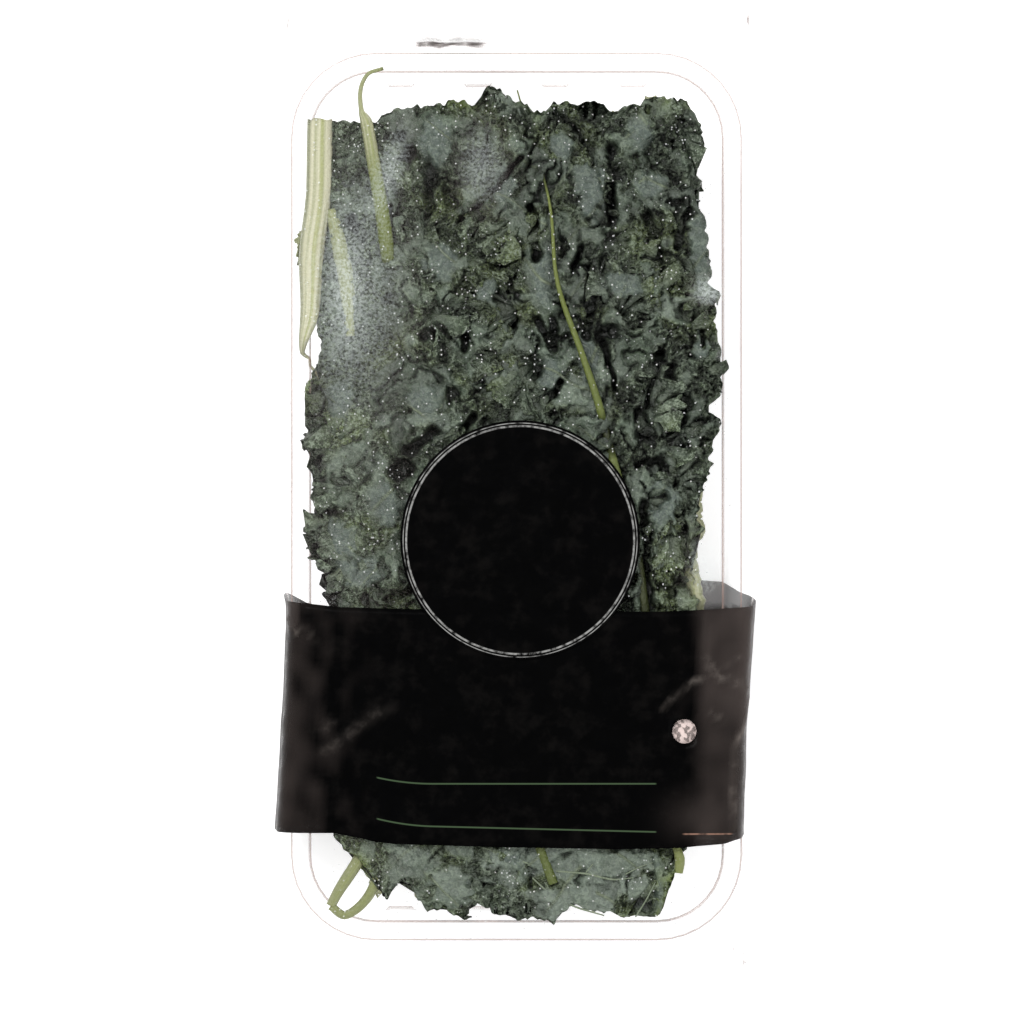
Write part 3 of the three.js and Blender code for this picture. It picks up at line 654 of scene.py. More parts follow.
def leafLines(leaf):
    # the route from above with its directions, its height above the floor, the leaf's width along it, and the
    # share of the half width that the blade takes before its lobes begin
    route = splinePath(leaf["route"], 160)
    ahead = np.gradient(route, axis=0)
    ahead /= np.linalg.norm(ahead, axis=1, keepdims=True)
    height = leaf.get("height", bedHeight(leaf["layer"], route[:, 0]))
    along = np.linspace(0, 1, len(route))
    grown = np.clip((along - leaf["stem"]) / (1 - leaf["stem"]), 0, 1)
    return {
        "route": route, "ahead": ahead, "side": np.array([ahead[:, 1], -ahead[:, 0]]).T,
        "spine": np.column_stack([route, np.broadcast_to(height, len(route))]),
        "along": along, "grown": grown,
        "width": np.sin(np.pi * np.clip(grown * 0.93 + 0.03, 0, 1)**0.9)**0.4,
        "bare": 0.75 if leaf["layer"] > 2 else 0.15,
    }


def leafRib(leaf, lines, draw, seed):
    # the path of the midrib, wavering by line noise, and the tube round it with a rough cut end
    along, ahead = lines["along"], lines["ahead"]
    shownAlong, shownRise = leaf.get("ribShown", ((0, leaf["stem"], leaf["stem"] + 0.05), (1, 0.5, -3)))
    ribHalf = leaf.get("ribHalf", ((0, 1), (kale["ribAtCut"] / 2.4, kale["ribAtTip"] / 2.4)))
    radii = np.interp(along, *ribHalf)
    rib = lines["spine"].copy()
    rib[:, 2] += np.interp(along, shownAlong, shownRise) + 0.4 * noiseLine(along * 9, seed)
    rib[:, :2] += ahead[:, ::-1] * [1, -1] * (0.9 * noiseLine(along * 7 + 3, seed + 1))[:, None]
    rib = fitInPack(rib, 0.6, -20 if "ribShown" in leaf else 0)
    ribTone = np.interp(along, *leaf.get("ribTone", ((0, 1), (0.5, 0.5))))
    tube = roundTube(rib, radii, 12, leaf.get("ribFlat", 0.7), stalk=1.0, tone=ribTone[:, None])
    tube[0][:12, :2] += ahead[0] * (0.35 * radii[0] * draw.uniform(-1, 1, 12))[:, None]
    tube[2]["inside"] = inwardShare(tube[0])
    return rib, tube


def twigTube(corners, level, widths, tone):
    # a stalk through its corners just under the film, or a raised vein where it is thinner than 1.2 mm
    path = splinePath(corners, 40)
    path = np.column_stack([path, np.full(len(path), level)])
    path[:, 2] = np.minimum(path[:, 2], bagFront(path[:, 0], path[:, 1], 1.4 + 0.7 * max(widths)))
    girth = np.interp(np.linspace(0, 1, 40), np.linspace(0, 1, len(widths)), widths)
    if max(widths) < 0.6:
        return roundTube(path, 0.75 * girth, 12, 0.7, stalk=0.0, vein=0.5, tone=tone)
    return roundTube(path, girth, 12, 0.7, stalk=1.0, tone=tone)


def narrowBlade(leaf, lines, rib, seed):
    # nine columns from edge to edge, with an uneven reach and edges raised and lowered by a noise field
    blade = lines["along"] >= leaf["stem"]
    v = np.linspace(-1, 1, 9)
    reach = np.where(v[None] < 0, *leaf["half"]) * lines["width"][blade][:, None] * lines["bare"]
    reach = reach * (1 + 0.3 * noiseLine(lines["along"][blade][:, None] * 14 + np.sign(v) * 5 + 20, seed + 8))
    sheet = np.empty((blade.sum(), len(v), 3))
    sheet[..., :2] = rib[blade][:, None, :2] + lines["side"][blade][:, None] * (v * reach)[..., None]
    waves = noiseField(sheet[..., 0] / 10 + 30, sheet[..., 1] / 10 + 30, seed + 2)
    sheet[..., 2] = rib[blade][:, None, 2] - 0.2 + 1.6 * np.abs(v) * waves
    marks = {"tone": 0.6 + leaf.get("pale", 0.0), "margin": 0.0, "vein": np.exp(-(v / 0.10)**2)[None]}
    return sheet[:, ::-1], 0.7, marks


def sideLobes(leaf, lines, draw, seed):
    # frilled lobes down each side of the midrib, each turned outwards and forwards, inside the outline
    rows, columns, spacing = lobeGrids[leaf["layer"]]
    calm, pale, bare = leaf.get("calm", 1.0), leaf.get("pale", 0.0), lines["bare"]
    route, ahead = lines["route"], lines["ahead"]
    total = np.linalg.norm(np.diff(route, axis=0), axis=1).sum()
    count = max(3, int(round(total * (1 - leaf["stem"]) / spacing)))
    for sign in (-1, 1):
        half = leaf["half"][0 if sign < 0 else 1]
        for k in range(count + 1):
            share = leaf["stem"] + (1 - leaf["stem"]) * (k + 0.25 + 0.5 * draw.uniform()) / (count + 1)
            i = int(share * (len(route) - 1))
            size = half * lines["width"][i] * draw.uniform(0.9, 1.25)
            foot = lines["spine"][i].copy()
            foot[:2] += lines["side"][i] * sign * size * max(0.0, bare * 0.9 - 0.1)
            length = max(6.0, size * (1.05 - 0.7 * bare) * 1.15)
            forward = np.arctan2(ahead[i, 1], ahead[i, 0])
            opened = np.radians(80 - 50 * lines["grown"][i]**2 + draw.uniform(-30, 30))
            fan = np.radians(draw.uniform(60, 96))
            lobeSeed = seed * 1000 + k * 20 + 10 * (sign > 0)
            points, margin, vein = frillLobe(length, fan, rows, columns, calm, lobeSeed)
            points = turned(points, forward - sign * opened, np.radians(draw.uniform(-14, 16)) * calm,
                            np.radians(draw.uniform(-20, 20)) * calm)
            points = points + foot + [0, 0, draw.uniform(0.5, 5.0 if calm > 0.6 else 3.0)]
            points = drawnIn(points, draw.uniform(-0.5, 2.5))
            tone = np.clip(draw.uniform(0.0, 0.9) + pale, 0, 1)
            marks = {"margin": margin, "vein": vein * (0.25 + 0.75 * pale), "tone": tone}
            yield points, draw.uniform(0, 3.0) * calm, marks


def foldedLobes(leaf, lines, draw, seed):
    # smaller lobes that have folded over in every direction
    rows, columns, _ = lobeGrids[leaf["layer"]]
    for k in range(leaf.get("folded", 12 if leaf["layer"] > 2 else 0)):
        i = int(draw.uniform(leaf["stem"] + 0.03, 0.97) * (len(lines["route"]) - 1))
        sign = draw.choice([-1, 1])
        half = leaf["half"][0 if sign < 0 else 1] * lines["width"][i]
        reach = lines["side"][i] * sign * half * draw.uniform(0.4, 0.95)
        foot = lines["spine"][i] + np.append(reach, draw.uniform(2.0, 6.0))
        points, margin, vein = frillLobe(draw.uniform(6, 13), draw.uniform(1.0, 1.7), rows - 3,
                                         columns * 5 // 8, leaf.get("calm", 1.0), seed * 1000 + 500 + k * 9)
        heading = draw.uniform(-np.pi, np.pi)
        points = turned(points, heading, draw.uniform(-0.3, 0.3), draw.uniform(-0.4, 0.4)) + foot
        sunk, tone = draw.uniform(0, 2.2), draw.uniform(0.1, 0.9)
        yield points, sunk, {"margin": margin, "vein": vein * 0.2, "tone": tone}


def tipLobe(leaf, lines, seed):
    # one wide lobe that ends the leaf
    rows, columns, _ = lobeGrids[leaf["layer"]]
    calm, i = leaf.get("calm", 1.0), len(lines["route"]) - 8
    length = max(7, 0.8 * max(leaf["half"]))
    points, margin, vein = frillLobe(length, 1.4, rows, columns, calm, seed * 1000 + 999)
    points = turned(points, np.arctan2(lines["ahead"][i, 1], lines["ahead"][i, 0]), 0.05, 0)
    marks = {"margin": margin, "vein": vein, "tone": 0.4 + leaf.get("pale", 0.0)}
    return points + lines["spine"][i] + [0, 0, 1.5], 0.8, marks


def youngLeaflet(leaf, place, seed):
    # a small pale leaflet that sticks out of the heap: x, y, height, heading, length and spread
    x, y, level, heading, length, spread = place
    rows, columns, _ = lobeGrids[leaf["layer"]]
    points, _, _ = frillLobe(length, np.radians(spread), rows, columns, 0.3, seed)
    points = turned(points, np.radians(heading), 0.02, 0.0) + [x, y, level]
    return thickSheet(points, kale["thickness"], stalk=0.85, tone=0.35)


def kaleLeaf(name, leaf, seed):
    # a midrib with its twigs, a blade that is crumpled in the three upper layers and narrow and puckered
    # elsewhere, and frilled lobes down its sides, folded over it and at its tip
    draw = np.random.default_rng(seed)
    lines = leafLines(leaf)
    rib, tube = leafRib(leaf, lines, draw, seed)
    parts = [tube] + [twigTube(*twig) for twig in leaf.get("twigs", [])]

    def addSheet(points, sunk, marks):
        pressed = pucker(fitInPack(points, sunk, 2.5 if leaf["layer"] < 2 else 1.0), seed, 0.3)
        marks["inside"], marks["young"] = inwardShare(pressed), nearEdge(pressed[..., 0], pressed[..., 1])
        parts.append(thickSheet(pressed, kale["thickness"], **marks))

    if leaf["layer"] in bladeGrid["shown"] and min(leaf["half"]) > 8:
        parts.append(crumpledBlade(leaf, lines, seed))
    else:
        addSheet(*narrowBlade(leaf, lines, rib, seed))
    for lobes in (sideLobes, foldedLobes):
        for lobe in lobes(leaf, lines, draw, seed):
            addSheet(*lobe)
    for k, place in enumerate(leaf.get("leaflets", [])):
        parts.append(youngLeaflet(leaf, place, seed * 1000 + 800 + k * 9))
    addSheet(*tipLobe(leaf, lines, seed))
    return makePiece(name.replace("leaf_", "kaleLeaf"), joinParts(parts), kaleSkin, (name,))


def addNode(tree, kind, settings=None, **inputs):
    # one node with its settings, its input values and its links (an input given a socket is linked), where i7
    # stands for the eighth input
    node = tree.nodes.new(kind)
    for label, value in (settings or {}).items():
        setattr(node, label, value)
    for label, value in inputs.items():
        numbered = label[0] == "i" and label[1:].isdigit()
        socket = node.inputs[int(label[1:]) if numbered else label.replace("_", " ")]
        if isinstance(value, bpy.types.NodeSocket):
            tree.links.new(value, socket)
        else:
            socket.default_value = value
    return node


def mixColour(tree, factor, first, second):
    node = addNode(tree, "ShaderNodeMix", {"data_type": "RGBA"}, i0=factor, i6=first, i7=second)
    return node.outputs[2]


def calculate(tree, operation, first, second=0.0, clamp=False):
    node = addNode(tree, "ShaderNodeMath", {"operation": operation, "use_clamp": clamp}, i0=first, i1=second)
    return node.outputs[0]


def times(tree, first, second, clamp=False):
    return calculate(tree, "MULTIPLY", first, second, clamp)


def plus(tree, first, second, clamp=False):
    return calculate(tree, "ADD", first, second, clamp)


def minus(tree, first, second):
    return calculate(tree, "SUBTRACT", first, second)


def stretch(tree, value, fromLow, fromHigh, toLow=0.0, toHigh=1.0):
    node = addNode(tree, "ShaderNodeMapRange", {"interpolation_type": "SMOOTHSTEP"}, i0=value, i1=fromLow,
                   i2=fromHigh, i3=toLow, i4=toHigh)
    return node.outputs[0]


def newMaterial(name):
    material = bpy.data.materials.new(name)
    material.use_nodes = True
    tree = material.node_tree
    tree.nodes.clear()
    return material, tree, tree.nodes.new("ShaderNodeOutputMaterial")


def attributeOf(tree, label):
    return addNode(tree, "ShaderNodeAttribute", {"attribute_name": label}).outputs["Fac"]


def objectPlace(tree):
    return tree.nodes.new("ShaderNodeTexCoord").outputs["Object"]


def patchGroup():
    # soft patches: noise on the object's own coordinates, stretched so that only its peaks stay
    group = bpy.data.node_groups.new("softPatches", "ShaderNodeTree")
    sockets = ("Scale", 0, 5000, 100.0), ("Low", 0, 1, 0.4), ("High", 0, 1, 0.6), ("Detail", 0, 8, 2.0)
    for label, low, high, value in sockets:
        socket = group.interface.new_socket(label, in_out="INPUT", socket_type="NodeSocketFloat")
        socket.default_value, socket.min_value, socket.max_value = value, low, high
    group.interface.new_socket("Mask", in_out="OUTPUT", socket_type="NodeSocketFloat")
    source, sink = group.nodes.new("NodeGroupInput"), group.nodes.new("NodeGroupOutput")
    noise = addNode(group, "ShaderNodeTexNoise", Vector=objectPlace(group), Scale=source.outputs["Scale"],
                    Detail=source.outputs["Detail"], Roughness=0.55)
    mask = stretch(group, noise.outputs["Fac"], source.outputs["Low"], source.outputs["High"])
    group.links.new(mask, sink.inputs["Mask"])
    return group


softPatches = patchGroup()


def patches(tree, scale, low, high, detail=2.0):
    node = tree.nodes.new("ShaderNodeGroup")
    node.node_tree = softPatches
    for label, value in (("Scale", scale), ("Low", low), ("High", high), ("Detail", detail)):
        node.inputs[label].default_value = value
    return node.outputs["Mask"]


kaleColours = {
    "deep": (0.058, 0.086, 0.052, 1), "plate": (0.100, 0.128, 0.094, 1), "bloom": (0.150, 0.182, 0.150, 1),
    "margin": (0.082, 0.115, 0.058, 1), "flat": (0.064, 0.085, 0.074, 1), "young": (0.20, 0.26, 0.05, 1),
    "vein": (0.24, 0.28, 0.18, 1), "stalk": (0.135, 0.165, 0.030, 1), "stalkDark": (0.052, 0.072, 0.017, 1),
    "stalkPale": (0.55, 0.54, 0.38, 1), "shade": (0.003, 0.004, 0.0025, 1),
    # the first two colours on the next line are painted light: a shadow between fine curls and a highlight on
    # their rims
    "curlShadow": (0.020, 0.030, 0.016, 1), "curlHighlight": (0.33, 0.39, 0.30, 1), "stalkEdge": (0.20, 0.215, 0.13, 1),
    "stalkLine": (0.30, 0.33, 0.10, 1),
}


def makeKaleSkin():
    material, tree, output = newMaterial("kaleSkin")
    place = objectPlace(tree)
    tone, margin, vein = (attributeOf(tree, label) for label in ("tone", "margin", "vein"))
    stalk, inside = (attributeOf(tree, label) for label in ("stalk", "inside"))
    colour = mixColour(tree, patches(tree, 70, 0.35, 0.65), kaleColours["deep"], kaleColours["plate"])
    colour = mixColour(tree, times(tree, tone, 0.55), colour, kaleColours["bloom"])
    colour = mixColour(tree, times(tree, margin, 0.75), colour, kaleColours["margin"])
    young = calculate(tree, "MAXIMUM", times(tree, margin, 0.6), attributeOf(tree, "young"))
    young = times(tree, young, patches(tree, 38, 0.44, 0.64), clamp=True)
    colour = mixColour(tree, times(tree, young, 0.85), colour, kaleColours["young"])
    colour = mixColour(tree, times(tree, attributeOf(tree, "flat"), 0.85), colour, kaleColours["flat"])
    frill = addNode(tree, "ShaderNodeTexNoise", Vector=place, Scale=600.0, Detail=2.0, Roughness=0.85)
    share = plus(tree, times(tree, margin, 0.75), 0.25)
    # painted shadow where the fine curl noise is low and painted highlight along the rims just above it,
    # stronger where the blade is curly
    gap = times(tree, share, stretch(tree, frill.outputs["Fac"], 0.40, 0.50, 0.95, 0.0))
    colour = mixColour(tree, gap, colour, kaleColours["curlShadow"])
    rim = times(tree, share, stretch(tree, frill.outputs["Fac"], 0.50, 0.60, 0.0, 0.8))
    colour = mixColour(tree, rim, colour, kaleColours["curlHighlight"])
    cells = addNode(tree, "ShaderNodeTexVoronoi", {"feature": "DISTANCE_TO_EDGE"}, Vector=place, Scale=330.0)
    net = stretch(tree, cells.outputs["Distance"], 0.0, 0.14, 1.0, 0.0)
    net = times(tree, net, minus(tree, 1.0, stalk))
    colour = mixColour(tree, times(tree, net, 0.07), colour, kaleColours["vein"])
    colour = mixColour(tree, vein, colour, kaleColours["vein"])
    across = attributeOf(tree, "across")
    axes = addNode(tree, "ShaderNodeSeparateXYZ", i0=place)
    grooved = addNode(tree, "ShaderNodeCombineXYZ", X=times(tree, across, 3.4),
                      Y=times(tree, axes.outputs[1], 14.0))
    grooves = addNode(tree, "ShaderNodeTexNoise", Vector=grooved.outputs[0], Scale=1.0, Detail=3.0)
    streak = times(tree, stretch(tree, grooves.outputs["Fac"], 0.32, 0.64, 0.55, 1.25), tone, clamp=True)
    dark = stretch(tree, tone, -1.0, 0.0, 1.0, 0.0)
    stalkColour = mixColour(tree, dark, kaleColours["stalk"], kaleColours["stalkDark"])
    stalkColour = mixColour(tree, streak, stalkColour, kaleColours["stalkPale"])
    middle = calculate(tree, "ABSOLUTE", plus(tree, across, 0.18))
    weight = stretch(tree, tone, 0.0, 0.8, 0.1, 1.0)
    line = times(tree, stretch(tree, middle, 0.04, 0.24, 0.6, 0.0), weight)
    stalkColour = mixColour(tree, line, stalkColour, kaleColours["stalkLine"])
    edge = times(tree, stretch(tree, across, 0.55, 0.85, 0.0, 0.8), weight)
    stalkColour = mixColour(tree, edge, stalkColour, kaleColours["stalkEdge"])
    colour = mixColour(tree, stalk, colour, stalkColour)
    shaded = times(tree, calculate(tree, "POWER", inside, 0.65), stretch(tree, young, 0.1, 0.9, 0.96, 0.4))
    colour = mixColour(tree, shaded, colour, kaleColours["shade"])
    height = times(tree, net, -0.2)
    height = plus(tree, height, times(tree, vein, 1.2))
    ruffle = times(tree, plus(tree, times(tree, margin, 4.0), 0.8), frill.outputs["Fac"])
    height = plus(tree, height, ruffle)
    bump = addNode(tree, "ShaderNodeBump", Height=height, Strength=0.8, Distance=0.0009)
    roughness = stretch(tree, frill.outputs["Fac"], 0.3, 0.7, 0.34, 0.56)
    skin = addNode(tree, "ShaderNodeBsdfPrincipled", Base_Color=colour, Roughness=roughness,
                   Normal=bump.outputs[0], Specular_IOR_Level=0.45)
    tree.links.new(skin.outputs[0], output.inputs[0])
    return material


kaleSkin = makeKaleSkin()


def showThrough(tree, cover, skin, output):
    # the skin where the cover is 1 and what lies behind it where the cover is 0
    clear = tree.nodes.new("ShaderNodeBsdfTransparent")
    both = addNode(tree, "ShaderNodeMixShader", i0=cover, i1=clear.outputs[0], i2=skin.outputs[0])
    tree.links.new(both.outputs[0], output.inputs[0])


def edgeOn(tree, start, least, most):
    # from least, where a sheet is seen from the front, to most, where it is seen edge on
    facing = addNode(tree, "ShaderNodeLayerWeight", Blend=0.5)
    return stretch(tree, facing.outputs["Facing"], start, 1.0, least, most)


def clearSheet(name, colour, roughness, least, grazing, edgeStart, mask=None, maskCover=0.0, ior=1.5):
    # see-through from the front, greyer where it is seen edge on or where the mask is
    material, tree, output = newMaterial(name)
    cover = edgeOn(tree, edgeStart, least, grazing)
    if mask:
        cover = calculate(tree, "MAXIMUM", cover, times(tree, mask(tree), maskCover))
    skin = addNode(tree, "ShaderNodeBsdfPrincipled", Base_Color=colour, Roughness=roughness, IOR=ior)
    showThrough(tree, cover, skin, output)
    return material


# The tray: its middle, the half sizes of its rim, its wall and the lugs of its short sides.
tray = {
    "centre": (-2.5, -1), "rimHalf": (75, 147.5), "rimWidth": 6.5, "rimTop": 36.4, "lipDrop": 2.4,
    "floorBottom": 1.8, "wall": 0.7, "draft": 7, "footRadius": 3, "mouthRadius": 22,
    "lugPitch": 25.8, "lugHalf": 5, "lugDepth": 2.2, "lugBottom": 25, "lugTop": 33,
}


def trayRing(out, z, lugDepth, cornerSteps=10):
    # a rounded rectangle whose short sides step in at four lugs, run round anticlockwise from above
    halfX, halfY = (tray["rimHalf"][k] - tray["rimWidth"] + out for k in (0, 1))
    radius = max(1.0, tray["mouthRadius"] + out)
    points = []
    for signX, signY, start in ((1, -1, -90), (1, 1, 0), (-1, 1, 90), (-1, -1, 180)):
        turn = np.radians(start + np.linspace(0, 90, cornerSteps))
        points.append(np.column_stack([signX * (halfX - radius) + radius * np.cos(turn),
                                       signY * (halfY - radius) + radius * np.sin(turn)]))
        if signX == signY:
            step = np.linspace(-1, 1, 13)[::-1]
            bulge = smoothRise(1 - np.abs(step), 0, 0.35)
            for place in (1.5, 0.5, -0.5, -1.5):
                x = signX * (place * tray["lugPitch"] + step * tray["lugHalf"] * 1.15)
                points.append(np.column_stack([x, signY * (halfY - bulge * lugDepth)]))
    ring = np.concatenate(points)
    return np.column_stack([ring + tray["centre"], np.full(len(ring), z)])


def makeTray(material):
    # the outside from the floor up to the lip, then the inside back down, one ring of points after another
    def wall(z, inset, lug=0.0):
        return -tray["draft"] * (1 - z / tray["rimTop"]) - inset, z, lug

    t, low, top, foot = tray["wall"], tray["floorBottom"], tray["rimTop"], tray["footRadius"]
    bend, lugBottom, lugTop = np.linspace(0, np.pi / 2, 5), tray["lugBottom"], tray["lugTop"]
    lugs = [(lugBottom - 2, 0), (lugBottom - 0.5, 0.8), (lugBottom + 0.6, 1),
            (lugTop - 0.4, 1), (lugTop + 0.4, 0.8), (lugTop + 1.3, 0)]
    outer = [wall(low + foot * (1 - np.cos(b)), foot * (1 - np.sin(b))) for b in bend]
    outer += [wall(z, 0) for z in (9, 14, 19)] + [wall(z, 0, share * tray["lugDepth"]) for z, share in lugs]
    rim, lip = tray["rimWidth"], tray["lipDrop"]
    outer += [(0.2, top - t - 0.3, 0), (0.8, top - t, 0), (rim - t - 0.7, top - t, 0),
              (rim - t - 0.1, top - t - 0.5, 0), (rim - t, top - lip, 0), (rim, top - lip, 0),
              (rim, top - 0.7, 0), (rim - 0.2, top - 0.2, 0),
              (rim - 0.5, top, 0), (rim - 0.9, top, 0), (0.7, top, 0), (0.3, top, 0), (-0.2, top - 0.2, 0),
              (-0.5, top - 0.5, 0), (-t, top - 0.9, 0)]
    creases = {len(outer) - 8: 0.8, len(outer) - 7: 0.8, len(outer) - 4: 0.6, len(outer) - 3: 0.9}
    inner = [wall(z, t, share * tray["lugDepth"]) for z, share in lugs[::-1]]
    inner += [wall(z, t) for z in (19, 14, 9)]
    inner += [wall(low + t + foot * (1 - np.cos(b)), t + foot * (1 - np.sin(b))) for b in bend[::-1]]
    rings = np.array([trayRing(*row) for row in outer + inner])
    rows, count = rings.shape[:2]
    edge = np.zeros(rows)
    for row, value in creases.items():
        edge[row] = value
    edge = np.repeat(edge, count).reshape(rows, count)
    stepsIn = np.abs(trayRing(0, 0, 1) - trayRing(0, 0, 0)).max(axis=1) > 0.05
    edge[9, stepsIn] = 0.8
    edge = np.append(edge.ravel(), [0, 0])
    closed = np.concatenate([rings, rings[:, :1]], 1)
    faces = gridFaces(rows, count + 1)
    faces = (faces // (count + 1)) * count + (faces % (count + 1)) % count
    middle = [np.append(tray["centre"], low), np.append(tray["centre"], low + t)]
    vertices = np.concatenate([rings.reshape(-1, 3), middle])
    ring = np.arange(count)
    after = (ring + 1) % count
    base = (rows - 1) * count
    lowMiddle, topMiddle = np.full(count, rows * count), np.full(count, rows * count + 1)
    over = np.stack([base + ring, base + after, topMiddle, topMiddle], -1)
    under = np.stack([after, ring, lowMiddle, lowMiddle], -1)
    part = vertices, np.concatenate([faces[:, ::-1], under, over]), {"edge": edge}
    return makePiece("clearTray", part, material, ("tray",))


# The bag's half outline as a smooth curve from the middle of the front to the middle of the back.
outlineCurve = splinePath([(share * 80, z) for share, z in bag["outline"][::-1]], 500)
outlineShare, outlineHeight = np.clip(outlineCurve[:, 0] / 80, 0, 1), np.clip(outlineCurve[:, 1], 0, 46.6)
outlineTurn = np.linspace(0, 1, 500)


def bagSurface(turn, y):
    # turn runs from -1 to 1 round the bag, with 0 in the middle of its front and the ends in that of its back
    full = bagFullness(y)
    x = np.sign(turn) * np.interp(np.abs(turn), outlineTurn, outlineShare) * bagWidth(turn, y)
    raised = bag["lift"] * smoothRise(y, bag["liftFrom"] - 8, bag["liftFrom"]) * (
        1 - smoothRise(y, bag["liftTo"], bag["liftTo"] + 8))
    z = np.maximum(np.interp(np.abs(turn), outlineTurn, outlineHeight), raised)
    z = bag["finHeight"] + (z - bag["finHeight"]) * full
    return np.stack(np.broadcast_arrays(x, y, z), -1)


def doubleWall(outer, inner, closed, hole, **marks):
    # an outer and an inner wall on one grid, joined along every open edge; the hole is the faces near its
    # centre, with the edge that they leave drawn in to a circle
    rows, columns = outer.shape[:2]
    if closed:
        faces = gridFaces(rows + 1, columns) % (rows * columns)
    else:
        faces = gridFaces(rows, columns)
    walls = [outer.reshape(-1, 3).copy(), inner.reshape(-1, 3).copy()]
    away = walls[0][:, :2] - [hole["x"], hole["y"]]
    distance = np.where(walls[0][:, 2] > 35, np.linalg.norm(away, axis=1), 1e3)
    kept = distance[faces].min(axis=1) > hole["radius"] * 0.8
    gone = np.setdiff1d(faces[~kept], [])
    rim = gone[np.isin(gone, faces[kept])]
    for wall in walls:
        wall[rim, :2] = [hole["x"], hole["y"]] + away[rim] / distance[rim, None] * hole["radius"]
    faces = faces[kept]
    count = rows * columns
    edges = np.concatenate([faces[:, [k, (k + 1) % 4]] for k in range(4)])
    loose = ~np.isin(edges[:, 0] * count + edges[:, 1], edges[:, 1] * count + edges[:, 0])
    a, b = edges[loose].T
    bridge = np.stack([b, a, a + count, b + count], -1)
    vertices = np.concatenate(walls)
    faces = np.concatenate([faces, faces[:, ::-1] + count, bridge])
    used = np.unique(faces)
    place = np.zeros(len(vertices), int)
    place[used] = np.arange(len(used))
    values = {}
    for name, mark in marks.items():
        values[name] = np.tile(np.broadcast_to(mark, (rows, columns)).ravel(), 2)[used]
    return vertices[used], place[faces], values


film = {"edgeFrom": 0.86, "edgeCover": 0.5, "fogAndGlareCover": 0.28, "lineCover": 0.45, "sealReflectionCover": 0.85,
        "dewCover": 0.4}
vent = {"x": 52.9, "y": -78.5, "radius": 4.05}
# Fog under the film, and on the right two painted patches of glare (at x 61, y 67 and x 60, y -24): how dense,
# the middle x and y, the two half sizes, and how far x leans for each mm of y.
fogAndGlarePlaces = [
    (0.38, -56, 66, 14, 30, 0), (0.6, -44.67, 106, 4, 13, 1 / 3), (0.5, -59, 68, 5, 18, 0),
    (0.4, -14, 108, 7, 12, 0), (1.5, 61, 67, 4, 2.5, 0), (0.5, 60, -24, 5, 8, 0),
]


def makeFilm(material):
    # the bag's surface with creases: ridged noise drawn out from the sealed ends, and soft dents between them
    turn = np.linspace(-1, 1, 181)[:-1, None]
    lowerSeal, upperSeal = np.linspace(-161, -150.5, 9)[:-1], np.linspace(150.5, 161, 11)[1:]
    between = [np.linspace(-150.5, 146.5, 78), np.linspace(147.1, 150.5, 7)]
    y = np.concatenate([lowerSeal, *between, upperSeal])
    y = np.broadcast_to(y[None], (180, len(y)))
    points = bagSurface(np.broadcast_to(turn, y.shape), y)
    normals = gridNormals(np.concatenate([points[-1:], points, points[:1]]))[1:-1]
    x, z = points[..., 0], points[..., 2]
    underBand = smoothRise(y, -124, -118) * (1 - smoothRise(y, -34, -26))
    nearDisc = 1 - smoothRise(fromDisc(x, y), 39, 44)
    free = 1 - np.maximum(underBand, nearDisc)
    endward = smoothRise(np.abs(y), 140, 154)
    crease = (1 - np.abs(noiseField(x / 5 + 40, y / 34 + 40, 5))) ** 5
    dents = noiseField(x / 17 + 30, y / 23 + 30, 6)
    corner = endward * smoothRise(np.abs(x), 45, 75)
    lift = (0.1 + 0.9 * endward) * free * (crease - 0.5) * 0.8 + 0.3 * dents * free * (z < 44)
    lift = lift + corner * 2.2 * noiseField(x / 7 + 20, y / 6 + 20, 7)
    outer = points + normals * lift[..., None]
    outer[..., 1] += corner * 1.5 * noiseField(x / 9 + 50, z / 9 + 50, 8)
    outer[..., 2] = np.maximum(outer[..., 2], 0)
    front = smoothRise(z, 28, 36)
    # white fog on the left, and the painted glare patches on the right
    fog = 0.06 * (1 - smoothRise(x, -62, -22))
    for density, middleX, middleY, halfX, halfY, lean in fogAndGlarePlaces:
        away = ((x - middleX - lean * (y - middleY)) / halfX) ** 2 + ((y - middleY) / halfY) ** 2
        fog = fog + density * np.exp(-away)
    dewy = smoothRise(noiseField(x / 9 + 40, y / 9 + 40, 31), -0.3, 0.4)
    dew = front * free * np.interp(x, (-75, -20, 30, 70), (0.55, 0.45, 0.3, 0.12)) * dewy
    loose = np.maximum(corner, 0.8 * smoothRise(np.abs(x), 74, 79) * smoothRise(y, -40, 0))
    crumple = front * loose * smoothRise(noiseField(x / 7 + 40, y / 11 + 40, 32), -0.25, 0.1)
    # a painted dark reflection in the folded film just below the top seal, between x -36 and -10
    offSeal = smoothRise(np.abs(y - 149.8 - 0.6 * noiseLine(x / 4 + 50, 9)), 2.1, 2.9)
    smudge = smoothRise(x, -36, -34.5) * (1 - smoothRise(x, -16, -10)) * (1 - offSeal)
    smudge = smudge * (z > 18) * (0.85 + 0.5 * noiseField(x / 3 + 40, y + 40, 33))
    inner = outer - normals * bag["wall"]
    part = doubleWall(outer, inner, True, vent, fog=np.clip(fog, 0, 1) * front, crumple=crumple,
                      dew=dew, smudge=smudge)
    return makePiece("bagFilm", part, material, ("bag_film",))


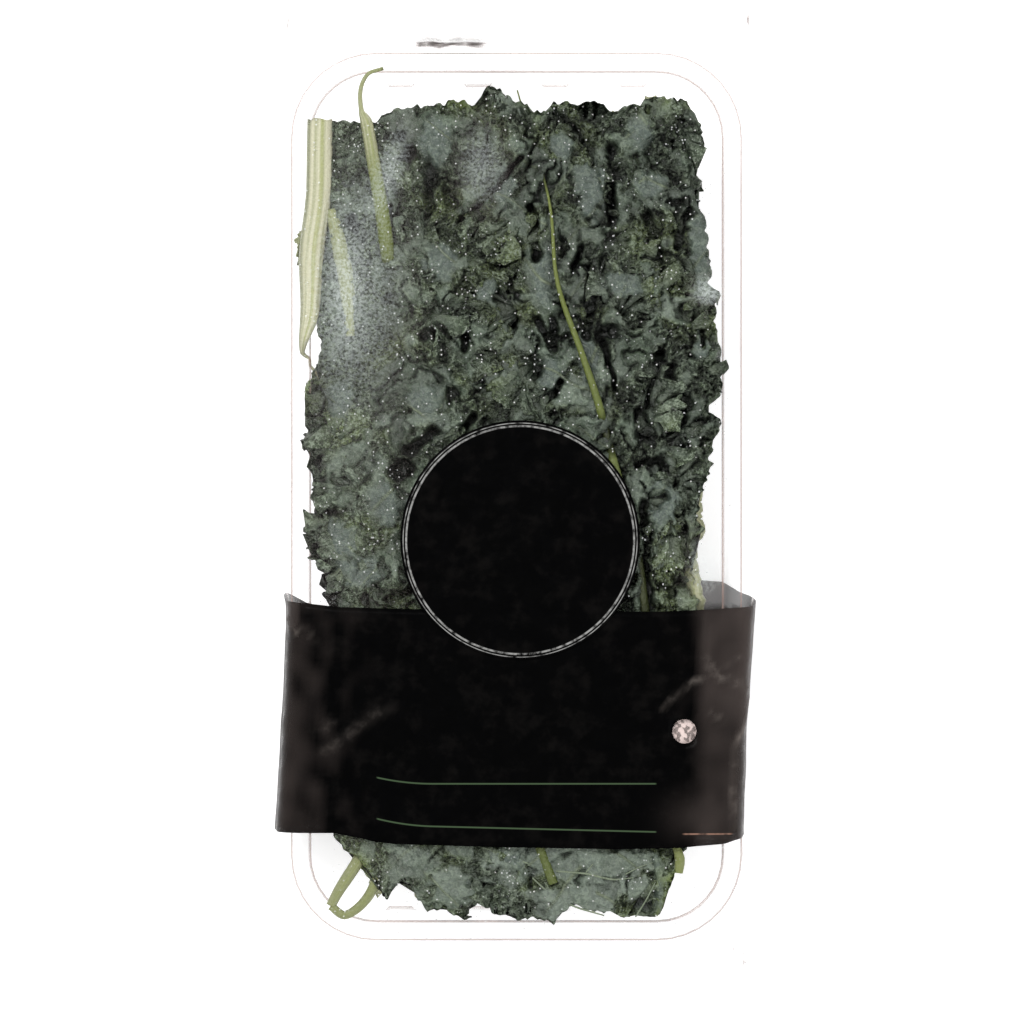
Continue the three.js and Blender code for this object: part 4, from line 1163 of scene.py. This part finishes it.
band = {
    "topY": -38.3, "bottomY": -115,
    "topEdge": ((-80, -75.4, -62.4, -41.2, 0, 45.2, 60.4, 69.4, 76.4),
                (-35.4, -36.0, -37.5, -38.1, -38.8, -39.0, -38.2, -37.6, -36.7)),
    "bottomEdge": ((-82, -61, -54.4, -47.8, -41.2, -8, 32, 52, 58, 67, 70, 76),
                   (-112.1, -112.1, -113.4, -115.0, -115.7, -116.7, -117.4, -117.0, -116.4, -115.7,
                    -114.7, -113.5)),
    "backRise": ((-80, -74.7, -70, 50, 57, 65, 69.4, 76.7), (5.6, 1.6, 0, 0, 9.2, 8.6, 5.2, 2.6)),
    "discX": -1.3, "discY": -15.4, "discRadius": 39.5, "clearance": 0.45, "thickness": 0.14,
    "ringInset": 1.9, "ringHalf": 0.3, "rules": ((-95.8, 0.0), (-110.6, 0.025)), "ruleFrom": -48.5,
    "ruleTo": 43.5, "ruleHalf": 0.25,
}
# Creases of the band: corner points of each, its height and its half width.
bandCreases = [
    ([(60, -60.4), (56, -61.9), (48.8, -67.9), (45.2, -71.5)], 0.35, 0.8),
    ([(65.7, -57.6), (70.7, -54)], 0.3, 0.7),
    ([(61.6, -57), (64, -60.1), (68.4, -61.9), (73.7, -64.2)], 0.5, 0.9),
    ([(61.6, -72.2), (65.2, -74.7)], 0.25, 0.8),
    ([(73.7, -67.9), (72, -77.2), (68.9, -83.8), (68.6, -110.7)], 0.5, 0.9),
    ([(60, -40), (60.5, -57)], 0.15, 1.2), ([(-78.6, -39.6), (-75, -46.1)], 0.6, 0.45),
    ([(-74.1, -42.6), (-69.1, -48.2)], 0.3, 0.5),
    ([(-43.3, -70.5), (-48.1, -72.9), (-66.4, -85.2)], 0.14, 1.6), ([(-66, -78), (-64, -76)], 0.2, 1.5),
]


def fromDisc(x, y):
    return np.hypot(x - band["discX"], y - band["discY"])


def creaseHeights(x, y):
    # the highest of the creases, each a bell e^-(distance / half width)^2 across its line
    height = np.zeros(x.shape)
    for corners, size, half in bandCreases:
        height = np.maximum(height, size * np.exp(-(awayFrom(corners, x, y) / half) ** 2))
    return height


def makeBand(material):
    # a sleeve whose columns run from its lower to its upper edge, and a disc squeezed from a square grid: each
    # of across and up is multiplied by the root of 1 less half the square of the other
    turn = np.linspace(-1, 1, 231)[:-1, None]
    t = np.linspace(0, 1, 38)[None]
    level = bagSurface(turn, np.full_like(turn, -75.0))
    levelX = level[..., 0]
    bottomY = np.interp(levelX, *band["bottomEdge"])
    atFront = smoothRise(level[..., 2], 10, 34)
    backTop = np.interp(levelX, *band["backRise"])
    topY = atFront * np.interp(levelX, *band["topEdge"]) + (1 - atFront) * (band["topY"] + backTop)
    turn = np.broadcast_to(turn, (len(turn), t.shape[1]))
    y = bottomY * (1 - t) + topY * t
    points = bagSurface(turn, y)
    normals = gridNormals(np.concatenate([points[-1:], points, points[:1]]))[1:-1]
    x, z = points[..., 0], points[..., 2]
    front = z > 25
    sheer = smoothRise(x, 55, 61.5) * (0.33 + 0.27 * smoothRise(y, -95, -62)) + 0.4 * smoothRise(x, 68, 73.5)
    sheer = sheer + 0.18 * smoothRise(-x, 58, 74) + 0.25 * smoothRise(-x, 74, 79)
    sheer = sheer + 0.4 * smoothRise(-x, 73.5, 74.5) * smoothRise(y, -45, -43.5)
    sheer = sheer + 0.35 * np.exp(-(((x - 57) / 9) ** 2 + ((y + 107) / 7) ** 2))
    sheer = sheer + 0.2 * noiseField(x / 6 + 9, y / 9 + 9, 19) * smoothRise(np.abs(x), 46, 66)
    sheer = np.clip(sheer, 0, 1) * front
    back = np.clip(backTop / 5, 0, 1) * smoothRise(y, -40, -38) * ~front
    crease = creaseHeights(x, y) * front
    soft = 0.25 * noiseField(x / 9 + 9, y / 14 + 9, 16) * smoothRise(np.abs(x), 40, 70)
    lift = band["clearance"] + 0.2 + crease + soft
    outer = points + normals * lift[..., None]
    sleeve = doubleWall(outer, outer - normals * band["thickness"], True, vent, sheer=np.maximum(sheer, back),
                        crease=crease, back=back)
    across, up = np.meshgrid(np.linspace(-1, 1, 40), np.linspace(-1, 1, 40), indexing="ij")
    discX = band["discX"] + band["discRadius"] * across * np.sqrt(1 - up**2 / 2)
    discY = band["discY"] + band["discRadius"] * up * np.sqrt(1 - across**2 / 2)
    disc = np.stack([discX, discY, bagFront(discX, discY, -band["clearance"] - 0.55)], -1)
    disc[..., 2] += 0.12 * noiseField(discX / 11, discY / 11, 18)
    parts = [sleeve, thickSheet(disc, band["thickness"], sheer=0.0, crease=0.0, disc=1.0, back=0.0)]
    return makePiece("printedBand", joinParts(parts), material, ("printed_band",))


def makeBandFinish():
    # black print: thin and brown where it is sheer, painted highlights along its creases, a pale double ring
    # just inside the disc's edge, two rules
    material, tree, output = newMaterial("blackPrint")
    sheer, crease, disc = (attributeOf(tree, label) for label in ("sheer", "crease", "disc"))
    axes = addNode(tree, "ShaderNodeSeparateXYZ", i0=objectPlace(tree))
    x, y = (calculate(tree, "DIVIDE", axes.outputs[k], mm) for k in (0, 1))

    def stripe(value, middle, half, soft=0.4):
        away = calculate(tree, "ABSOLUTE", minus(tree, value, middle))
        return stretch(tree, away, half * (1 - soft), half * (1 + soft), 1.0, 0.0)

    glintPatches = patches(tree, 160, 0.45, 0.75, 4.0)
    colour = mixColour(tree, sheer, (0.0007, 0.0007, 0.0008, 1), (0.060, 0.048, 0.044, 1))
    # painted highlight along the creases, broken up by soft patches, with a faint painted sheen in the patches
    # themselves
    folds = times(tree, times(tree, crease, 0.9), plus(tree, glintPatches, 0.25))
    creaseGlint = plus(tree, folds, times(tree, glintPatches, 0.012), clamp=True)
    colour = mixColour(tree, creaseGlint, colour, (0.22, 0.19, 0.17, 1))
    fromX = minus(tree, x, band["discX"])
    fromY = minus(tree, y, band["discY"])
    radius = calculate(tree, "SQRT", plus(tree, times(tree, fromX, fromX), times(tree, fromY, fromY)))
    chalk = stripe(radius, band["discRadius"] - band["ringInset"], band["ringHalf"])
    chalk = times(tree, chalk, patches(tree, 500, 0.3, 0.62, 4.0))
    thinLine = times(tree, stripe(radius, band["discRadius"] - 0.9, 0.14), patches(tree, 300, 0.3, 0.6, 4.0))
    ring = times(tree, disc, calculate(tree, "MAXIMUM", chalk, thinLine))
    colour = mixColour(tree, ring, colour, (0.30, 0.30, 0.29, 1))
    curl = calculate(tree, "POWER", calculate(tree, "MAXIMUM", minus(tree, -30.0, x), 0.0), 2.0)
    bent = minus(tree, y, times(tree, curl, 0.006))
    rules = plus(tree, *(stripe(plus(tree, bent, times(tree, x, tilt)), ruleY, band["ruleHalf"])
                         for ruleY, tilt in band["rules"]))
    middle = (band["ruleFrom"] + band["ruleTo"]) / 2
    rules = times(tree, rules, stripe(x, middle, band["ruleTo"] - middle, 0.01))
    rules = times(tree, rules, calculate(tree, "GREATER_THAN", axes.outputs[2], 0.03))
    colour = mixColour(tree, rules, colour, (0.050, 0.080, 0.042, 1))
    seam = times(tree, stripe(y, -112.4, 0.25), stripe(x, 60.6, 7.8, 0.12))
    colour = mixColour(tree, times(tree, seam, patches(tree, 330, 0.2, 0.5)), colour, (0.26, 0.15, 0.11, 1))
    grain = addNode(tree, "ShaderNodeTexNoise", Vector=objectPlace(tree), Scale=240.0, Detail=3.0)
    bump = addNode(tree, "ShaderNodeBump", Height=grain.outputs["Fac"], Strength=0.25, Distance=0.0006)
    roughness = stretch(tree, grain.outputs["Fac"], 0.3, 0.7, 0.24, 0.40)
    ink = addNode(tree, "ShaderNodeBsdfPrincipled", Base_Color=colour, Roughness=roughness,
                  Normal=bump.outputs[0], Specular_IOR_Level=0.02)
    thin = plus(tree, times(tree, sheer, 0.2), times(tree, attributeOf(tree, "back"), 0.3))
    showThrough(tree, minus(tree, 1.0, thin), ink, output)
    return material


def makeVentFlap(material):
    # a small crinkled patch of clear film just under the vent hole: a ridged noise field over a round grid
    across, up = np.meshgrid(np.linspace(-1, 1, 36), np.linspace(-1, 1, 36), indexing="ij")
    x = vent["x"] + 1.35 * vent["radius"] * across * np.sqrt(1 - up**2 / 2)
    y = vent["y"] + 1.35 * vent["radius"] * up * np.sqrt(1 - across**2 / 2)
    ridges = np.abs(noiseField(x / 2.2 + y / 5 + 10, y / 4.5 + 10, 71))
    ridges = ridges + 0.4 * noiseField(x / 1.1, y / 1.4, 72)
    points = np.stack([x, y, bagFront(x, y, 0.75) - 0.5 * ridges], -1)
    return makePiece("ventFlap", thickSheet(points, 0.12, ridge=ridges), material)


droplets = {"count": 1250, "smallest": 0.09, "largest": 0.36, "inset": 0.55}


def makeDroplets(material):
    # condensation: flattened twenty-sided beads under the film, more of them where a noise field is high
    draw = np.random.default_rng(77)
    x, y = draw.uniform(-74, 68, 9000), draw.uniform(-140, 134, 9000)
    hidden = ((y < band["topY"] + 2) & (y > band["bottomY"] + 1)) | (fromDisc(x, y) < 40)
    chance = 0.08 + 0.9 * smoothRise(noiseField(x / 11 + 40, y / 11 + 40, 31), 0.0, 0.6)
    keep = np.flatnonzero(~hidden & (draw.uniform(size=9000) < chance))[:droplets["count"]]
    sizeRange = droplets["largest"] - droplets["smallest"]
    size = droplets["smallest"] + sizeRange * draw.uniform(size=len(keep)) ** 3
    centre = np.column_stack([x[keep], y[keep], bagFront(x[keep], y[keep], droplets["inset"])])
    golden = (1 + 5**0.5) / 2
    corner = np.array([(a, b, 0) for a in (-1, 1) for b in (-golden, golden)], float)
    corner = np.concatenate([corner, corner[:, [2, 0, 1]], corner[:, [1, 2, 0]]]) / np.hypot(1, golden)
    gap = np.linalg.norm(corner[:, None] - corner[None], axis=2)
    near = gap < 1.2
    facets = [(i, j, k) for i in range(12) for j in range(i + 1, 12) for k in range(j + 1, 12)
              if near[i, j] and near[j, k] and near[i, k]]
    facets = [(i, j, k) if np.linalg.det(corner[[i, j, k]]) > 0 else (i, k, j) for i, j, k in facets]
    facets = np.array([(i, j, k, k) for i, j, k in facets])
    beads = centre[:, None] + corner[None] * size[:, None, None] * [1, 1, 0.6]
    faces = facets[None] + 12 * np.arange(len(keep))[:, None, None]
    part = beads.reshape(-1, 3), faces.reshape(-1, 4), {}
    return makePiece("condensation", part, material)


for seed, (name, leaf) in enumerate(kaleLeaves.items(), 1):
    kaleLeaf(name, leaf, seed)

trayPlastic = clearSheet("trayPlastic", (0.38, 0.27, 0.24, 1), 0.12, 0.0, 0.14, 0.85,
                         lambda tree: attributeOf(tree, "edge"), 0.85)
makeTray(trayPlastic)


def makeFilmFinish():
    # clear film: white fog, white painted glare and dew beads painted white as glints in their own places,
    # thin crumple lines where it is loose, pink where it is seen edge on, and a painted dark reflection by the
    # top seal
    material, tree, output = newMaterial("filmPlastic")
    place = objectPlace(tree)
    haze = plus(tree, times(tree, patches(tree, 1100, 0.35, 0.65, 2.0), 0.75), 0.25)
    fog = times(tree, attributeOf(tree, "fog"), haze)
    drawn = addNode(tree, "ShaderNodeVectorMath", {"operation": "MULTIPLY"}, i0=place, i1=(1.0, 0.3, 1.0))
    wander = addNode(tree, "ShaderNodeTexNoise", Vector=drawn.outputs[0], Scale=60.0, Detail=1.0)
    line = calculate(tree, "ABSOLUTE", minus(tree, wander.outputs["Fac"], 0.5))
    line = stretch(tree, line, 0.004, 0.018, 1.0, 0.0)
    lines = times(tree, attributeOf(tree, "crumple"), line)
    smudge = attributeOf(tree, "smudge")
    # dew beads on the film, chosen cell by cell, painted white as glints
    beads = addNode(tree, "ShaderNodeTexVoronoi", Vector=place, Scale=620.0)
    chance = attributeOf(tree, "dew")
    lot = addNode(tree, "ShaderNodeSeparateColor", Color=beads.outputs["Color"]).outputs[0]
    chosen = calculate(tree, "LESS_THAN", lot, chance)
    dew = times(tree, chosen, stretch(tree, beads.outputs["Distance"], 0.10, 0.24, 1.0, 0.0))
    # white where the fog and the painted glare are
    colour = mixColour(tree, stretch(tree, fog, 0.0, 0.2), (0.56, 0.47, 0.45, 1), (0.90, 0.97, 0.95, 1))
    colour = mixColour(tree, dew, colour, (0.92, 0.96, 0.94, 1))
    # near black for the painted dark reflection by the top seal
    colour = mixColour(tree, smudge, colour, (0.045, 0.032, 0.028, 1))
    cover = edgeOn(tree, film["edgeFrom"], 0.0, film["edgeCover"])
    for label, mask in {"fogAndGlareCover": fog, "lineCover": lines, "sealReflectionCover": smudge, "dewCover": dew}.items():
        cover = calculate(tree, "MAXIMUM", cover, times(tree, mask, film[label]))
    skin = addNode(tree, "ShaderNodeBsdfPrincipled", Base_Color=colour, Roughness=0.14, IOR=1.5)
    showThrough(tree, cover, skin, output)
    return material


# painted highlight: the flap is pale and nearly opaque along its crinkle ridges
def ridgeHighlightMask(tree):
    return stretch(tree, attributeOf(tree, "ridge"), 0.12, 0.32, 0.2, 1.0)


makeFilm(makeFilmFinish())
makeBand(makeBandFinish())
makeVentFlap(clearSheet("flapFilm", (0.80, 0.66, 0.62, 1), 0.25, 0.12, 0.9, 0.4, ridgeHighlightMask, 0.94))
# water beads whose whitish colour is a painted glint
waterGlint = clearSheet("waterGlint", (0.9, 0.92, 0.92, 1), 0.05, 0.35, 0.7, 0.2, ior=1.33)
makeDroplets(waterGlint)
print("pack made")

# The camera looks straight down on the pack as it lies.
camera = {"x": -3.98, "y": -6.14, "planeHeight": 36, "distance": 1700, "frameWidth": 340}
cameraData = bpy.data.cameras.new("camera")
cameraData.angle = 2 * math.atan(camera["frameWidth"] / 2 / camera["distance"])
cameraData.clip_end = 20
eye = bpy.data.objects.new("camera", cameraData)
eye.location = (camera["x"] * mm, camera["y"] * mm, (camera["planeHeight"] + camera["distance"]) * mm)
bpy.context.scene.collection.objects.link(eye)
bpy.context.scene.camera = eye

floorMesh = bpy.data.meshes.new("floor")
floorCorners = [(x, y, -0.0006) for x, y in ((-4, -4), (4, -4), (4, 4), (-4, 4))]
floorMesh.from_pydata(floorCorners, [], [(0, 1, 2, 3)])
floor = bpy.data.objects.new("floor", floorMesh)
bpy.context.scene.collection.objects.link(floor)
floorPaint, floorTree, floorOutput = newMaterial("floorPaint")
paleFloor = addNode(floorTree, "ShaderNodeBsdfPrincipled", Base_Color=(0.93, 0.93, 0.93, 1), Roughness=0.8)
paleFloor.inputs["Emission Color"].default_value = (1, 1, 1, 1)
paleFloor.inputs["Emission Strength"].default_value = 0.5
floorTree.links.new(paleFloor.outputs[0], floorOutput.inputs[0])
floorMesh.materials.append(floorPaint)

world = bpy.data.worlds.new("studio")
bpy.context.scene.world = world
world.use_nodes = True
world.node_tree.nodes["Background"].inputs[0].default_value = (1, 1, 1, 1)
world.node_tree.nodes["Background"].inputs[1].default_value = 0.75

lamps = [
    {"name": "keySoftbox", "place": (-0.45, 0.55, 1.15), "size": 0.5, "power": 9.0},
    {"name": "fillSoftbox", "place": (0.8, -0.5, 1.0), "size": 0.9, "power": 4.0},
]
for lamp in lamps:
    light = bpy.data.lights.new(lamp["name"], "AREA")
    light.energy, light.size = lamp["power"], lamp["size"]
    stand = bpy.data.objects.new(lamp["name"], light)
    stand.location = lamp["place"]
    towards = np.array(lamp["place"])
    stand.rotation_euler = (math.atan2(math.hypot(towards[0], towards[1]), towards[2]), 0,
                            math.atan2(towards[0], -towards[1]))
    bpy.context.scene.collection.objects.link(stand)

scene = bpy.context.scene
scene.view_settings.view_transform = "Standard"
scene.cycles.transparent_max_bounces = 32
